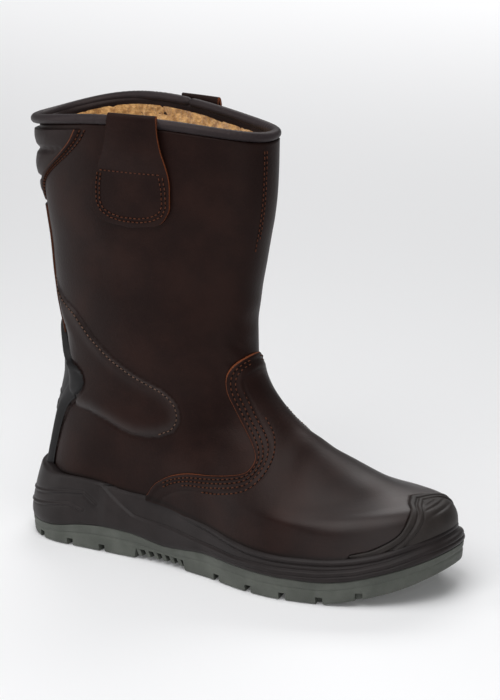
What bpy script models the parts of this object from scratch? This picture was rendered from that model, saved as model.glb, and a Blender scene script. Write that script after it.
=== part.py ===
"""Rigger boot, right foot: a fur-lined pull-on safety boot, every piece at its real size.

Boot space is in millimetres: x runs from the back of the heel to the toe, y towards the inner side
of the foot and z up from the ground. The last lines move the boot so that its footprint is centred
on the world origin. The upper's outer face is one function, surface(angle, level), and the pieces
laid on it are slabs of that same face between two edges.
"""
import bmesh
import bpy
import numpy as np

MM = 0.001
SOLE_LENGTH = 306.2
WALL = 2.2
SEAT_GAP = 0.3
OVERLAY_GAP = 0.5
LEATHER = 1.8
HALF_TURN = np.pi

# The outline of the foot in plan, at stations from the heel: the line midway between the two sides,
# the half width of the sole's flange and the half width of the leather above it.
FOOT = {
    "station": (0, 40, 80, 115, 150, 185, 215, 245, 275, 310),
    "middle": (0, 0, -0.5, -2.5, -4, -4, -1.5, 2, 5.5, 8.5),
    "sole_half": (40, 42, 41, 39, 43, 52, 56.5, 54.5, 49, 44),
    "leather_half": (34, 35.5, 34.5, 33.5, 37, 46, 51, 49, 43.5, 38.5),
}
SOLE_HEEL_ROUND = 42.0
SOLE_TOE_ROUND = 62.0
SOLE_FULLNESS = 2.25

# Rings of the upper, from the turned-in lasting margin up to the collar. Each ring is a closed
# section between a point on the back line and a point on the front line. nose and heel are the
# lengths over which its front and back round off, leg is how far its half width follows the
# leg instead of the foot, sole how far it follows the rise and fall of the sole, and saddle how
# far its sides stand above its front and back.
RING = {
    "back_x": (25, 17, 13.2, 12, 12.2, 13, 14, 15.2, 16.4, 17.6, 18.8, 20.5, 23.5, 26, 26.2, 24.5, 22,
               20, 18.2, 17, 15, 13.2, 11.5, 11, 10.2),
    "back_z": (26, 26.2, 30, 35, 40, 45, 50, 56, 62, 69, 77, 87, 99, 113, 128, 141, 153,
               164, 181, 199, 214, 227, 241, 257, 274.3),
    "front_x": (285, 293.5, 298, 299.6, 299.2, 296.8, 290.5, 278.5, 264, 248, 230, 212, 196, 181.5, 171.5, 165.5,
                162.5, 162.2, 164.8, 168.6, 171.6, 174.3, 176.2, 177, 177.3),
    "front_z": (26, 26.2, 31, 38, 45.6, 51.8, 56, 58.2, 61.6, 67.5, 74.6, 83.2, 91.7, 103.8, 115.2, 127,
                140, 154, 177, 197, 213, 227, 243, 260, 276.5),
    "nose": (58, 60, 62, 62, 63, 66, 76, 95, 115, 130, 140, 148, 148, 130, 106, 88,
             80, 80, 86, 92, 98, 102, 106, 109, 112),
    "heel": (38, 40, 42, 42, 43, 44, 45, 47, 49, 51, 54, 58, 62, 66, 68, 70,
             71, 71, 70, 69, 68, 67, 66, 65, 64),
    "leg": (0, 0, 0, 0, 0, 0, 0.02, 0.05, 0.1, 0.2, 0.35, 0.5, 0.68, 0.84, 0.95, 1,
            1, 1, 1, 1, 1, 1, 1, 1, 1),
    "leg_half": (35, 35, 35, 35, 35, 35, 35, 35, 35, 35, 35, 35, 35, 35, 35.5, 36,
                 36.6, 37.2, 38.4, 39.6, 40.6, 41.4, 42.2, 43, 43.6),
    "sole": (1, 1, 1, 1, 0.95, 0.9, 0.8, 0.65, 0.5, 0.35, 0.2, 0.1, 0, 0, 0, 0,
             0, 0, 0, 0, 0, 0, 0, 0, 0),
    "saddle": (0, 0, 0, 0, 0, 0, 0, 0, 0, 0, 0, 0, 0, 0, 0, 0,
               0, 0, 0, 0.5, 1.5, 3, 5, 7.3, 9.5),
    "inset": (11, 4, 0.8, 0, 0, 0, 0, 0, 0, 0, 0, 0, 0, 0, 0, 0,
              0, 0, 0, 0, 0, 0, 0, 0, 0),
}
TOP_LEVEL = len(RING["back_x"]) - 1
RING_FULLNESS = 2.15
INNER_SADDLE = 0.8
INNER_SKEW = 0.95

# How far the foot bed dips below the straight line from heel to toe.
DIP = {"station": (12, 60, 110, 150, 200, 230, 262, 290, 303), "drop": (0, 0.3, 3, 5, 7.6, 7.8, 5, 1, 0)}

# Heights along the sole: the tread's lowest face, the visible line between outsole and midsole,
# and the rim of the midsole against the leather.
TREAD = {"station": (0, 238, 250, 261, 277, 291, 298, 307), "height": (0, 0, 1.4, 3.6, 7.6, 12.4, 15.6, 20)}
PARTING = {
    "station": (0, 30, 60, 78, 94, 121, 155, 184, 211, 236, 254, 270, 285, 298, 307),
    "height": (10.7, 11.6, 16.4, 17.7, 17, 13, 16, 15.5, 14.8, 14.8, 17, 21.4, 27, 32.6, 37),
}
RIM = {
    "station": (0, 14, 26, 50, 67, 78, 102, 120, 139, 158, 177, 195, 212, 237, 258, 273, 287, 298, 307),
    "height": (49, 48.6, 46.5, 47, 46, 43.6, 42.7, 41, 37.6, 34.4, 31, 29, 28.5, 29.2, 31.2, 33.9, 38, 41.7, 45),
    "lean": (8, 7, 6, 4.5, 4, 4, 4, 3.6, 3, 2.4, 1.8, 1.4, 1.2, 1.2, 1.2, 1.4, 1.6, 1.8, 2.2),
}
# The side of the midsole from the parting line up: share of its height and how far it stands out.
SIDE = {
    "share": (0, 0.07, 0.34, 0.40, 0.46, 0.66, 0.72, 0.78, 0.95, 1),
    "out": (-0.9, 0.2, 0.6, -0.9, 0.4, 0.2, -1.0, 0.0, -0.2, -1.2),
}
PLATE = 8.5
LEDGE = 4.5


def smooth(table, name, at, key="station"):
    """Monotone cubic through one column of a table, so that it never swings past its rows."""
    known = np.asarray(table[key], float) if key else np.arange(len(table[name]), dtype=float)
    value = np.asarray(table[name], float)
    step = np.diff(known)
    rise = np.diff(value) / step
    slope = np.zeros_like(value)
    slope[0], slope[-1] = rise[0], rise[-1]
    same_way = rise[:-1] * rise[1:] > 0
    before = (2 * step[1:] + step[:-1])[same_way]
    after = (step[1:] + 2 * step[:-1])[same_way]
    slope[1:-1][same_way] = (before + after) / (before / rise[:-1][same_way] + after / rise[1:][same_way])
    at = np.clip(np.asarray(at, float), known[0], known[-1])
    row = np.clip(np.searchsorted(known, at, side="right") - 1, 0, len(known) - 2)
    width = step[row]
    t = (at - known[row]) / width
    ends = value[row] * (1 + 2 * t) * (1 - t) ** 2 + value[row + 1] * t * t * (3 - 2 * t)
    return ends + width * (slope[row] * t * (1 - t) ** 2 + slope[row + 1] * t * t * (t - 1))


def round_off(share, fullness):
    """Height of a rounded end: 0 at its tip and 1 once share reaches 1."""
    left = 1 - np.clip(share, 0, 1)
    return (1 - left ** fullness) ** (1 / fullness)


def height_on(level, share, x, angle):
    """Height of a ring's point from its share of the way from the back line to the front line. On
    the inner side of the leg the collar stands highest towards the back."""
    back = smooth(RING, "back_z", level, None)
    front = smooth(RING, "front_z", level, None)
    drop = smooth(RING, "sole", level, None) * smooth(DIP, "drop", x)
    inner = np.where(np.sin(angle) < 0, INNER_SADDLE + INNER_SKEW * np.cos(angle), 1)
    saddle = smooth(RING, "saddle", level, None) * np.sin(angle) ** 2 * inner
    return back + (front - back) * share - drop + saddle


def face(angle, level):
    """Point of the upper's outer face. Angle 0 is the back, a quarter turn the outer side of the
    foot and a half turn the front."""
    angle, level = np.broadcast_arrays(np.asarray(angle, float), np.asarray(level, float))
    back = smooth(RING, "back_x", level, None)
    front = smooth(RING, "front_x", level, None)
    share = (1 - np.cos(angle)) / 2
    x = back + (front - back) * share
    leg = smooth(RING, "leg", level, None)
    foot_half = smooth(FOOT, "leather_half", x) - smooth(RING, "inset", level, None)
    half = foot_half * (1 - leg) + smooth(RING, "leg_half", level, None) * leg
    half = half * round_off((front - x) / smooth(RING, "nose", level, None), RING_FULLNESS)
    half = half * round_off((x - back) / smooth(RING, "heel", level, None), RING_FULLNESS)
    y = smooth(FOOT, "middle", x) * (1 - leg) - np.sign(np.sin(angle)) * half
    return np.stack([x, y, height_on(level, share, x, angle)], -1)


def surface(angle, level, offset=0.0):
    """The outer face moved along its own normal, outwards for a positive offset."""
    tiny = 1e-3
    angle = np.asarray(angle, float)
    around = face(angle + tiny, level) - face(angle - tiny, level)
    lower = np.clip(level - 10 * tiny, 0, TOP_LEVEL)
    upper = np.clip(level + 10 * tiny, 0, TOP_LEVEL)
    along = face(angle, upper) - face(angle, lower)
    normal = np.cross(around, along)
    normal /= np.linalg.norm(normal, axis=-1, keepdims=True)
    return face(angle, level) + normal * np.asarray(offset, float)[..., None]


def level_at(angle, height):
    """Level of the face at a height, by halving."""
    angle, height = np.broadcast_arrays(np.asarray(angle, float), np.asarray(height, float))
    low = np.zeros(angle.shape)
    high = np.full(angle.shape, float(TOP_LEVEL))
    for _ in range(40):
        middle = (low + high) / 2
        under = face(angle, middle)[..., 2] < height
        low = np.where(under, middle, low)
        high = np.where(under, high, middle)
    return (low + high) / 2


def spots(outline):
    """Angle and level for an outline given as degrees round the boot and heights in millimetres."""
    angle = np.radians([turn for turn, height in outline])
    return np.stack([angle, level_at(angle, [height for turn, height in outline])], -1)


def side_spot(x, height, medial):
    """Angle and level of the point that a side view shows at x and height."""
    x, height = np.broadcast_arrays(np.asarray(x, float), np.asarray(height, float))
    low = np.zeros(x.shape)
    high = np.full(x.shape, float(TOP_LEVEL))
    for _ in range(40):
        middle = (low + high) / 2
        back = smooth(RING, "back_x", middle, None)
        front = smooth(RING, "front_x", middle, None)
        share = np.clip((x - back) / (front - back), 0, 1)
        angle = np.arccos(1 - 2 * share)
        under = height_on(middle, share, x, angle) < height
        low = np.where(under, middle, low)
        high = np.where(under, high, middle)
    return (2 * HALF_TURN - angle if medial else angle), (low + high) / 2


def trace(points, count):
    """A smooth line of count points through a few spots, spaced by their real distance."""
    points = np.asarray(points, float)
    place = face(points[:, 0], points[:, 1])
    run = np.concatenate([[0], np.cumsum(np.linalg.norm(np.diff(place, axis=0), axis=1))])
    line = {"run": run, "angle": points[:, 0], "level": points[:, 1]}
    at = np.linspace(0, run[-1], count)
    return np.stack([smooth(line, "angle", at, "run"), smooth(line, "level", at, "run")], -1)


def other_side(points):
    """The same spots on the other side of the boot."""
    return points * [-1, 1]


def round_front(points):
    """Spots from the outer side to the front line, then on to the same place on the inner side."""
    back_again = points[:-1][::-1].copy()
    back_again[:, 0] = 2 * HALF_TURN - back_again[:, 0]
    return np.concatenate([points, back_again])


def sole_outline(angle, out=0.0):
    """Plan of the sole's flange, moved outwards by out."""
    def plan(turn):
        x = SOLE_LENGTH * (1 - np.cos(turn)) / 2
        half = smooth(FOOT, "sole_half", x)
        half = half * round_off((SOLE_LENGTH - x) / SOLE_TOE_ROUND, SOLE_FULLNESS)
        half = half * round_off(x / SOLE_HEEL_ROUND, SOLE_FULLNESS)
        return np.stack([x, smooth(FOOT, "middle", x) - np.sign(np.sin(turn)) * half], -1)

    tiny = 1e-3
    along = plan(angle + tiny) - plan(angle - tiny)
    normal = np.stack([along[..., 1], -along[..., 0]], -1)
    normal /= np.linalg.norm(normal, axis=-1, keepdims=True)
    return plan(angle) + normal * np.asarray(out, float)[..., None]


def ring_of(plan, height):
    """Closed ring of points from a plan outline and a height for each of its points."""
    return np.concatenate([plan, np.broadcast_to(height, plan.shape[:1])[:, None]], -1)


def turns(count):
    """Angles round a closed ring, with a point on the back line and one on the front line."""
    return np.arange(count) * 2 * HALF_TURN / count


def add_piece(name, verts, faces, finish):
    """A named object from points in boot space, with its faces turned outwards."""
    mesh = bpy.data.meshes.new(name)
    mesh.from_pydata([tuple(float(v) * MM for v in point) for point in verts], [], faces)
    work = bmesh.new()
    work.from_mesh(mesh)
    bmesh.ops.remove_doubles(work, verts=work.verts, dist=1e-6)
    bmesh.ops.recalc_face_normals(work, faces=work.faces)
    work.to_mesh(mesh)
    work.free()
    mesh.materials.append(finish)
    mesh.shade_smooth()
    piece = bpy.data.objects.new(name, mesh)
    boot.objects.link(piece)
    piece.parent = ground_point
    return piece


def as_cutter(block):
    block.hide_render = True
    block.display_type = "WIRE"
    cutters.objects.link(block)


def add_cutter(name, mesh):
    """A block that only cuts another piece, or keeps a part of it."""
    block = bpy.data.objects.new(name, mesh)
    block.parent = ground_point
    as_cutter(block)
    return block


def loft(name, rings, finish, closed=True):
    """Solid through closed rings of equal count. Each end is closed by strips from one side of
    the foot to the other, or left open where the last ring meets the first."""
    count = len(rings[0])
    verts = np.concatenate(rings)
    faces = []
    bands = len(rings) - 1 if closed else len(rings)
    for band in range(bands):
        low = band * count
        high = (band + 1) % len(rings) * count
        for i in range(count):
            j = (i + 1) % count
            faces.append((low + i, low + j, high + j, high + i))
    if closed:
        for start in (0, (len(rings) - 1) * count):
            for i in range(count // 2):
                strip = [start + i, start + i + 1, start + (count - i - 1) % count, start + (count - i) % count]
                faces.append(tuple(dict.fromkeys(strip)))
    return add_piece(name, verts, faces, finish)


def slab(name, near, far, finish):
    """Solid between two grids of points of equal size, closed round its four edges."""
    rows, columns = near.shape[:2]
    verts = np.concatenate([near.reshape(-1, 3), far.reshape(-1, 3)])
    other = rows * columns
    faces = []
    for r in range(rows - 1):
        for c in range(columns - 1):
            a = r * columns + c
            quad = (a, a + 1, a + columns + 1, a + columns)
            faces.append(quad)
            faces.append(tuple(other + i for i in reversed(quad)))
    border = [c for c in range(columns)]
    border += [r * columns + columns - 1 for r in range(1, rows)]
    border += [(rows - 1) * columns + c for c in range(columns - 2, -1, -1)]
    border += [r * columns for r in range(rows - 2, 0, -1)]
    for i, a in enumerate(border):
        b = border[(i + 1) % len(border)]
        faces.append((a, b, other + b, other + a))
    return add_piece(name, verts, faces, finish)


def overlay(name, edge, opposite, across, finish, thickness, gap=OVERLAY_GAP):
    """Slab laid on the upper between two edges of as many spots. thickness gives its height from
    each point's level, its share of the way along and its share of the way across."""
    share = np.linspace(0, 1, across)[None, :]
    angle = edge[:, 0:1] * (1 - share) + opposite[:, 0:1] * share
    level = edge[:, 1:2] * (1 - share) + opposite[:, 1:2] * share
    along = np.linspace(0, 1, len(edge))[:, None]
    height = np.broadcast_to(thickness(level, along, share), angle.shape)
    near = surface(angle, level, np.full(angle.shape, gap))
    far = surface(angle, level, gap + height)
    return slab(name, near, far, finish)


def finish_of(name, color, roughness, metallic=0.0):
    """One plain finish, from its colour, roughness and metallic value."""
    finish = bpy.data.materials.new(name)
    finish.use_nodes = True
    shader = finish.node_tree.nodes["Principled BSDF"]
    shader.inputs["Base Color"].default_value = (*color, 1.0)
    shader.inputs["Roughness"].default_value = roughness
    shader.inputs["Metallic"].default_value = metallic
    finish.diffuse_color = (*color, 1.0)
    return finish


def collection(name):
    group = bpy.data.collections.new(name)
    bpy.context.scene.collection.children.link(group)
    return group


for old in list(bpy.data.objects):
    bpy.data.objects.remove(old, do_unlink=True)

boot = collection("rigger_boot")
cutters = collection("cutters")
ground_point = bpy.data.objects.new("ground_point", None)
boot.objects.link(ground_point)

leather = finish_of("oiled leather", (0.045, 0.028, 0.025), 0.45)
rubber = finish_of("grey rubber", (0.16, 0.17, 0.155), 0.75)
foam = finish_of("dark polyurethane", (0.028, 0.025, 0.027), 0.6)
moulding = finish_of("black moulding", (0.02, 0.02, 0.022), 0.55)
board = finish_of("footbed cloth", (0.12, 0.10, 0.085), 0.9)

# The upper: counter, quarters and shaft, turned in under the foot. The outer quarter laps over the
# inner one down the shin, a step in the wall that fades out towards the side.
COLUMNS = 44
UPPER_LEVELS = (0, 0.8, 1.6, 2.6, 4, 5.2, 6.2, 7.2, 8.4, 9.6, 10.8, 12, 13, 14, 15, 16.2, 17.6, 19.2, 20.8, 22.4, 24)
LAP_EDGE = np.radians(196)
LAP_STEP = 1.4
LAP_FADE = np.radians(60)
LAP_FROM = 14.0

around = np.sort(np.append(turns(COLUMNS), [LAP_EDGE - 0.012, LAP_EDGE + 0.012]))


def lap(angle, level):
    """Extra height of the outer quarter near its edge on the shin."""
    fade = np.clip(1 - (LAP_EDGE - angle) / LAP_FADE, 0, 1)
    rise = np.clip((np.asarray(level, float) - LAP_FROM) / 2, 0, 1)
    return LAP_STEP * np.where(angle < LAP_EDGE, fade ** 2, 0) * rise


skin = [surface(around, np.full(len(around), level), lap(around, level)) for level in UPPER_LEVELS]
inside = [surface(around, np.full(len(around), level), np.full(len(around), -WALL))
          for level in reversed(UPPER_LEVELS)]
upper = loft("upper", skin + inside, leather, closed=False)

# The sole: a rubber outsole with a raised edge, and the polyurethane cup that stands in it.
CUP_GAP = 0.7
sole_turns = turns(COLUMNS)
flange = sole_outline(sole_turns)
tread = smooth(TREAD, "height", flange[:, 0])
parting = smooth(PARTING, "height", flange[:, 0])
rim = smooth(RIM, "height", flange[:, 0])
lean = smooth(RIM, "lean", flange[:, 0])
plate = np.minimum(tread + PLATE, parting - 1.5)


def sole_ring(out, height):
    return ring_of(sole_outline(sole_turns, np.broadcast_to(out, sole_turns.shape)), height)


outsole = loft("outsole", [
    sole_ring(-5.5, tread),
    sole_ring(-3.2, tread),
    sole_ring(-2.2, tread + 1.2),
    sole_ring(-0.8, (tread + parting) / 2),
    sole_ring(-0.6, parting),
    sole_ring(-LEDGE, parting),
    sole_ring(-LEDGE - 1, plate),
], rubber)

wall = []
for share, out in zip(SIDE["share"], SIDE["out"]):
    wall.append(sole_ring(out - lean * share ** 1.5, parting + SEAT_GAP + (rim - parting - SEAT_GAP) * share))
rim_level = level_at(sole_turns, rim)
cup = []
for share in (1, 0.7, 0.45, 0.25, 0.1, 0):
    cup.append(surface(sole_turns, rim_level * share, np.full(COLUMNS, CUP_GAP)))
midsole = loft("midsole", [
    sole_ring(-LEDGE - 1 - SEAT_GAP, plate + SEAT_GAP),
    sole_ring(-LEDGE - SEAT_GAP, parting + SEAT_GAP),
] + wall + cup, foam)

# The footbed lies on the turned-in margin.
BED_THICKNESS = 4.0
MARGIN_GAP = 0.6
margin = face(sole_turns, np.full(COLUMNS, 1.0))[:, 2] + WALL + MARGIN_GAP
bed_low = surface(sole_turns, np.full(COLUMNS, 2.0), np.full(COLUMNS, -WALL - 6.2))
bed_high = surface(sole_turns, np.full(COLUMNS, 2.6), np.full(COLUMNS, -WALL - 3.2))
bed_low[:, 2] = margin
bed_high[:, 2] = margin + BED_THICKNESS
bed_middle = bed_high.copy()
bed_middle[:, 2] = margin + 1.5
insole = loft("insole", [bed_low, bed_middle, bed_high], board)


def rim_spots(first, last, count, above):
    """Spots that follow the rim of the midsole between two turns, a little above it."""
    angle = np.linspace(np.radians(first), np.radians(last), count)
    height = smooth(RIM, "height", sole_outline(angle)[:, 0]) + above
    return np.stack([angle, level_at(angle, height)], -1)


def even(thickness):
    return lambda level, along, across: thickness


RIM_GAP = 1.1
BUMPER_GAP = 0.9

# Toe bumper: moulded over the toe down to the rim, with two ridges round its rear edge, which is
# given as degrees round the boot and levels.
BUMPER_EDGE = ((134.2, 3.2), (140.2, 3.36), (146, 3.72), (151.3, 4.3), (156.2, 5.22), (162.8, 6.15), (171, 6.95),
               (180, 7.35))
BUMPER = {"share": (0, 0.07, 0.14, 0.22, 0.3, 0.45, 0.9, 1), "height": (1.6, 3.0, 2.0, 2.9, 2.3, 2.5, 2.5, 2.8)}
bumper_edge = trace([(np.radians(turn), level) for turn, level in BUMPER_EDGE], 12)
bumper_foot = rim_spots(135, 180, 12, RIM_GAP)
overlay("toe_bumper", round_front(bumper_edge), round_front(bumper_foot), 10, foam,
        lambda level, along, across: smooth(BUMPER, "height", across, "share"), gap=BUMPER_GAP)

# Vamp: leather over the forefoot, its wings running back along the sole, its throat up the shin. It
# is a second skin on the upper, kept where a block with its side view meets it.
VAMP_THROAT = ((166, 138.3), (164.2, 137.6), (159.4, 133.3), (156.5, 128.3), (156, 121.8), (157.6, 115.4),
               (165.3, 103.2), (174.1, 92.7), (183, 84.1), (186.9, 79.1), (187.5, 74.8), (184.7, 71))
VAMP_WING = ((175.9, 68.7), (156.5, 66), (143.1, 64.9), (130.7, 61.9), (119.5, 56.4), (111.3, 50.3),
             (106.2, 44))
VAMP_OUTSIDE = ((310, 48), (310, 90), (235, 110), (190, 150), (172, 150))
BUMPER_ROOM = 8.0
BUMPER_SLIT = (-0.012, 0.1)
VAMP_GAP = 1.15
VAMP_FROM = 1.6
VAMP_TO = 18.4
vamp_levels = [level for level in UPPER_LEVELS if VAMP_FROM <= level <= VAMP_TO]


def second_skin(level, offset):
    return surface(around, np.full(len(around), level), VAMP_GAP + offset + lap(around, level))


def side_block(name, outline, half_depth):
    """A block with the given side view, across the whole width of the boot."""
    work = bmesh.new()
    front = work.faces.new([work.verts.new((x * MM, -half_depth * MM, z * MM)) for x, z in outline])
    grown = bmesh.ops.extrude_face_region(work, geom=[front])
    moved = [item for item in grown["geom"] if isinstance(item, bmesh.types.BMVert)]
    bmesh.ops.translate(work, verts=moved, vec=(0, 2 * half_depth * MM, 0))
    bmesh.ops.recalc_face_normals(work, faces=work.faces)
    mesh = bpy.data.meshes.new(name)
    work.to_mesh(mesh)
    work.free()
    return add_cutter(name, mesh)


vamp = loft("vamp", [second_skin(level, LEATHER) for level in vamp_levels]
            + [second_skin(level, 0.0) for level in reversed(vamp_levels)], leather, closed=False)
rim_stations = (107.4, 120, 139, 158, 177, 195, 212, 237, 258, 277)
rim_line = [(x, float(smooth(RIM, "height", x)) + RIM_GAP) for x in rim_stations]
keep = vamp.modifiers.new("side view", "BOOLEAN")
keep.operation = "INTERSECT"
keep.object = side_block("vamp_side", VAMP_THROAT + VAMP_WING + tuple(rim_line) + VAMP_OUTSIDE, 80.0)
room_edge = bumper_edge + BUMPER_SLIT
room_edge[-1, 0] = HALF_TURN
room_foot = rim_spots(133.4, 180, 12, -3 * RIM_GAP)
room = overlay("bumper_room", round_front(room_edge), round_front(room_foot), 5, foam, even(BUMPER_ROOM), gap=-1)
boot.objects.unlink(room)
as_cutter(room)
clear = vamp.modifiers.new("room for the bumper", "BOOLEAN")
clear.operation = "DIFFERENCE"
clear.object = room

# Heel guard: a moulded stem up the back of the heel with a lobe each side of the ankle.
GUARD_EDGE = ((22.5, 49.8), (22, 57), (24.2, 67), (28.8, 79), (35.3, 91.8), (43, 99.2), (50, 106.3), (51.9, 112),
              (50.4, 116.8), (45, 119.8), (37, 121.5), (29, 127), (20, 136), (10, 143.5), (2.5, 146))
GUARD_HEIGHT = 3.0
GUARD_RIM = 1.4
GUARD_GAP = 0.8
guard_edge = trace(spots(GUARD_EDGE), 16)
overlay("heel_guard", guard_edge, other_side(guard_edge), 9, moulding, lambda level, along, across:
        GUARD_RIM + (GUARD_HEIGHT - GUARD_RIM) * np.sin(HALF_TURN * across) ** 0.5, gap=GUARD_GAP)

# Back stay: a strip of leather over the back seam, between the heel guard and the collar pad.
STAY_FOOT = ((21.5, 137), (11, 144.6), (0, 148.5))
STAY_TOP = 222.0
STAY_GAP = 0.7
stay_foot = spots(STAY_FOOT)
stay_foot = np.concatenate([stay_foot, other_side(stay_foot)[-2::-1]])
stay_top = np.stack([stay_foot[:, 0], level_at(stay_foot[:, 0], STAY_TOP)], -1)
overlay("back_stay", stay_foot, stay_top, 9, leather, even(LEATHER), gap=STAY_GAP)

# Collar pad: three padded rolls round the back of the collar.
PAD_EDGE = ((12, 224), (17, 229), (24.6, 238), (31, 243.5), (41, 251), (51.5, 259.7), (58, 266.7), (62, 272.2),
            (65.5, 279.5))
ROLLS = {
    "level": (20.8, 21, 21.35, 21.7, 21.9, 22.1, 22.5, 22.9, 23.1, 23.3, 23.6, 23.9, 24),
    "height": (0.6, 2.2, 3.0, 2.4, 0.6, 2.6, 3.6, 2.6, 0.6, 2.6, 3.4, 2.8, 2.2),
}
pad_edge = trace(spots(PAD_EDGE), 12)
overlay("collar_pad", other_side(pad_edge), pad_edge, 13, leather, lambda level, along, across:
        smooth(ROLLS, "height", level, "level") * np.clip(0.3 + 4 * np.minimum(across, 1 - across), 0, 1))

# Ankle pads: a padded panel each side, stitched down along its upper edge.
ANKLE_TOP = ((46, 160.5), (52.8, 156.8), (64.4, 143.3), (75.7, 132.5), (87.9, 122.8), (95.8, 118.1),
             (100.7, 115.1), (103.9, 110.6), (105, 106.5))
ANKLE_FOOT = ((58, 92), (64.6, 88.5), (70.8, 84.1), (76.1, 81.8), (81.4, 81.9), (87.9, 83.3), (95.9, 87.7),
              (101.2, 93.6), (104.3, 100))
ANKLE_SWELL = 2.8
ankle_top = trace(spots(ANKLE_TOP), 12)
ankle_foot = trace(spots(ANKLE_FOOT), 12)


def swell(level, along, across):
    ends = np.clip(np.minimum(along + 0.15, 1 - along) * 5, 0, 1)
    return 0.6 + ANKLE_SWELL * ends * np.sin(HALF_TURN * across) ** 0.8


overlay("ankle_pad_lateral", ankle_top, ankle_foot, 7, leather, swell)
overlay("ankle_pad_medial", other_side(ankle_top), other_side(ankle_foot), 7, leather, swell)

# Collar binding: a rolled edge that follows the top of the shaft.
BINDING_RADIUS = 3.2
BINDING_POINTS = 42
BINDING_BACK = 4.2
binding_turns = turns(BINDING_POINTS)
over_pad = BINDING_BACK * np.clip(1 - np.minimum(binding_turns, 2 * HALF_TURN - binding_turns) / 1.2, 0, 1) ** 0.6
line = surface(binding_turns, np.full(BINDING_POINTS, float(TOP_LEVEL)), over_pad - WALL / 2)
line[:, 2] = face(binding_turns, np.full(BINDING_POINTS, float(TOP_LEVEL)))[:, 2] + BINDING_RADIUS + SEAT_GAP
curve = bpy.data.curves.new("collar_binding", "CURVE")
curve.dimensions = "3D"
curve.bevel_depth = BINDING_RADIUS * MM
curve.bevel_resolution = 2
spline = curve.splines.new("POLY")
spline.points.add(BINDING_POINTS - 1)
spline.use_cyclic_u = True
for point, place in zip(spline.points, line):
    point.co = (*(place * MM), 1.0)
curve.materials.append(leather)
binding = bpy.data.objects.new("collar_binding", curve)
binding.parent = ground_point
boot.objects.link(binding)

# Pull loops: two layers of leather from a stitched patch, over the binding and down inside. One row
# for each bend: the height and the distance from the shaft of its near and its far face, the middle
# of the strap along the boot and half its width.
LOOP = {
    "near_z": (222, 224.5, 228.5, 236, 247, 255, 262, 272, 282, 288, 291.2, 292, 291.2, 288, 280, 262),
    "near_out": (0.5, 0.5, 0.5, 0.5, 0.5, 0.6, 1.2, 2.2, 2.7, 2.8, 1.6, -1.2, -4.2, -5.6, -5.6, -5.6),
    "far_z": (222, 224.5, 228.5, 236, 247, 255, 262, 272, 282, 289, 293.7, 294.8, 293.7, 289, 280, 262),
    "far_out": (2.4, 3.0, 3.3, 3.3, 3.3, 3.1, 3.9, 5.0, 5.6, 5.7, 3.8, -1.2, -6.4, -8.4, -8.4, -8.4),
    "middle": (99.5, 99.5, 99.5, 99.8, 100.4, 102, 102.5, 103.5, 103.9, 104, 104, 104, 104, 104, 104, 104),
    "half": (12, 19, 23.5, 26.6, 26.4, 24.4, 22.6, 19.6, 17.8, 17.4, 17, 17, 17, 17, 17, 17),
}
INNER_LOOP_BACK = 6.0
INNER_LOOP_WIDTH = 0.9
LOOP_COLUMNS = np.linspace(-1, 1, 5)


def beside(x, height, out, medial):
    """Points beside the shaft at a distance from it, also where they pass over the collar."""
    angle, level = side_spot(x, height, medial)
    place = surface(angle, level, out)
    place[..., 2] = height
    return place


for side in ("lateral", "medial"):
    bends = [np.array(LOOP[name], float)[:, None] for name in LOOP]
    near_z, near_out, far_z, far_out, middle, half = bends
    if side == "medial":
        middle = middle - INNER_LOOP_BACK
        half = half * INNER_LOOP_WIDTH
    across = middle + half * LOOP_COLUMNS
    grids = [beside(across, np.broadcast_to(z, across.shape), np.broadcast_to(out, across.shape), side == "medial")
             for z, out in ((near_z, near_out), (far_z, far_out))]
    slab("pull_loop_" + side, grids[0], grids[1], leather)

# The tread: grooves between the lugs, a channel down the middle and the raised arch.
GROOVE_WIDTH = 3.2
GROOVE_DEPTH = 4.5
CROSS_GROOVES = ((22, -10), (47, -6), (72, -3), (165, 4), (192, 7), (217, 10), (241, 13), (265, 17), (287, 22))
CHANNELS = ((15, 88, 0), (146, 300, 0.5))
ARCH = (95.5, 139.5)
ARCH_RISE = 7.0
ARCH_SLOPE = 3.0


def cut_with(name, size, place, turn=0.0, top_in=0.0):
    """A block taken out of the outsole from below; top_in makes its ends slope inwards."""
    mesh = bpy.data.meshes.new(name)
    work = bmesh.new()
    bmesh.ops.create_cube(work, size=1.0)
    for vert in work.verts:
        vert.co.x *= size[0] - (top_in * 2 if vert.co.z > 0 else 0)
        vert.co.y *= size[1]
        vert.co.z *= size[2]
        vert.co *= MM
    work.to_mesh(mesh)
    work.free()
    block = add_cutter(name, mesh)
    block.location = [value * MM for value in place]
    block.rotation_euler.z = turn
    cut = outsole.modifiers.new(name, "BOOLEAN")
    cut.operation = "DIFFERENCE"
    cut.object = block


FULL_WIDTH = 150.0
cut_with("arch", (ARCH[1] - ARCH[0], FULL_WIDTH, 2 * ARCH_RISE), ((ARCH[0] + ARCH[1]) / 2, 0, 0), top_in=ARCH_SLOPE)
for place, lean_back in CROSS_GROOVES:
    base = float(smooth(TREAD, "height", place))
    cut_with("groove_%d" % place, (GROOVE_WIDTH, FULL_WIDTH, 2 * GROOVE_DEPTH), (place, 0, base),
             np.radians(lean_back))
for start, stop, off in CHANNELS:
    cut_with("channel_%d" % start, (stop - start, GROOVE_WIDTH, 2 * GROOVE_DEPTH - 1), ((start + stop) / 2, off, 0))

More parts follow.
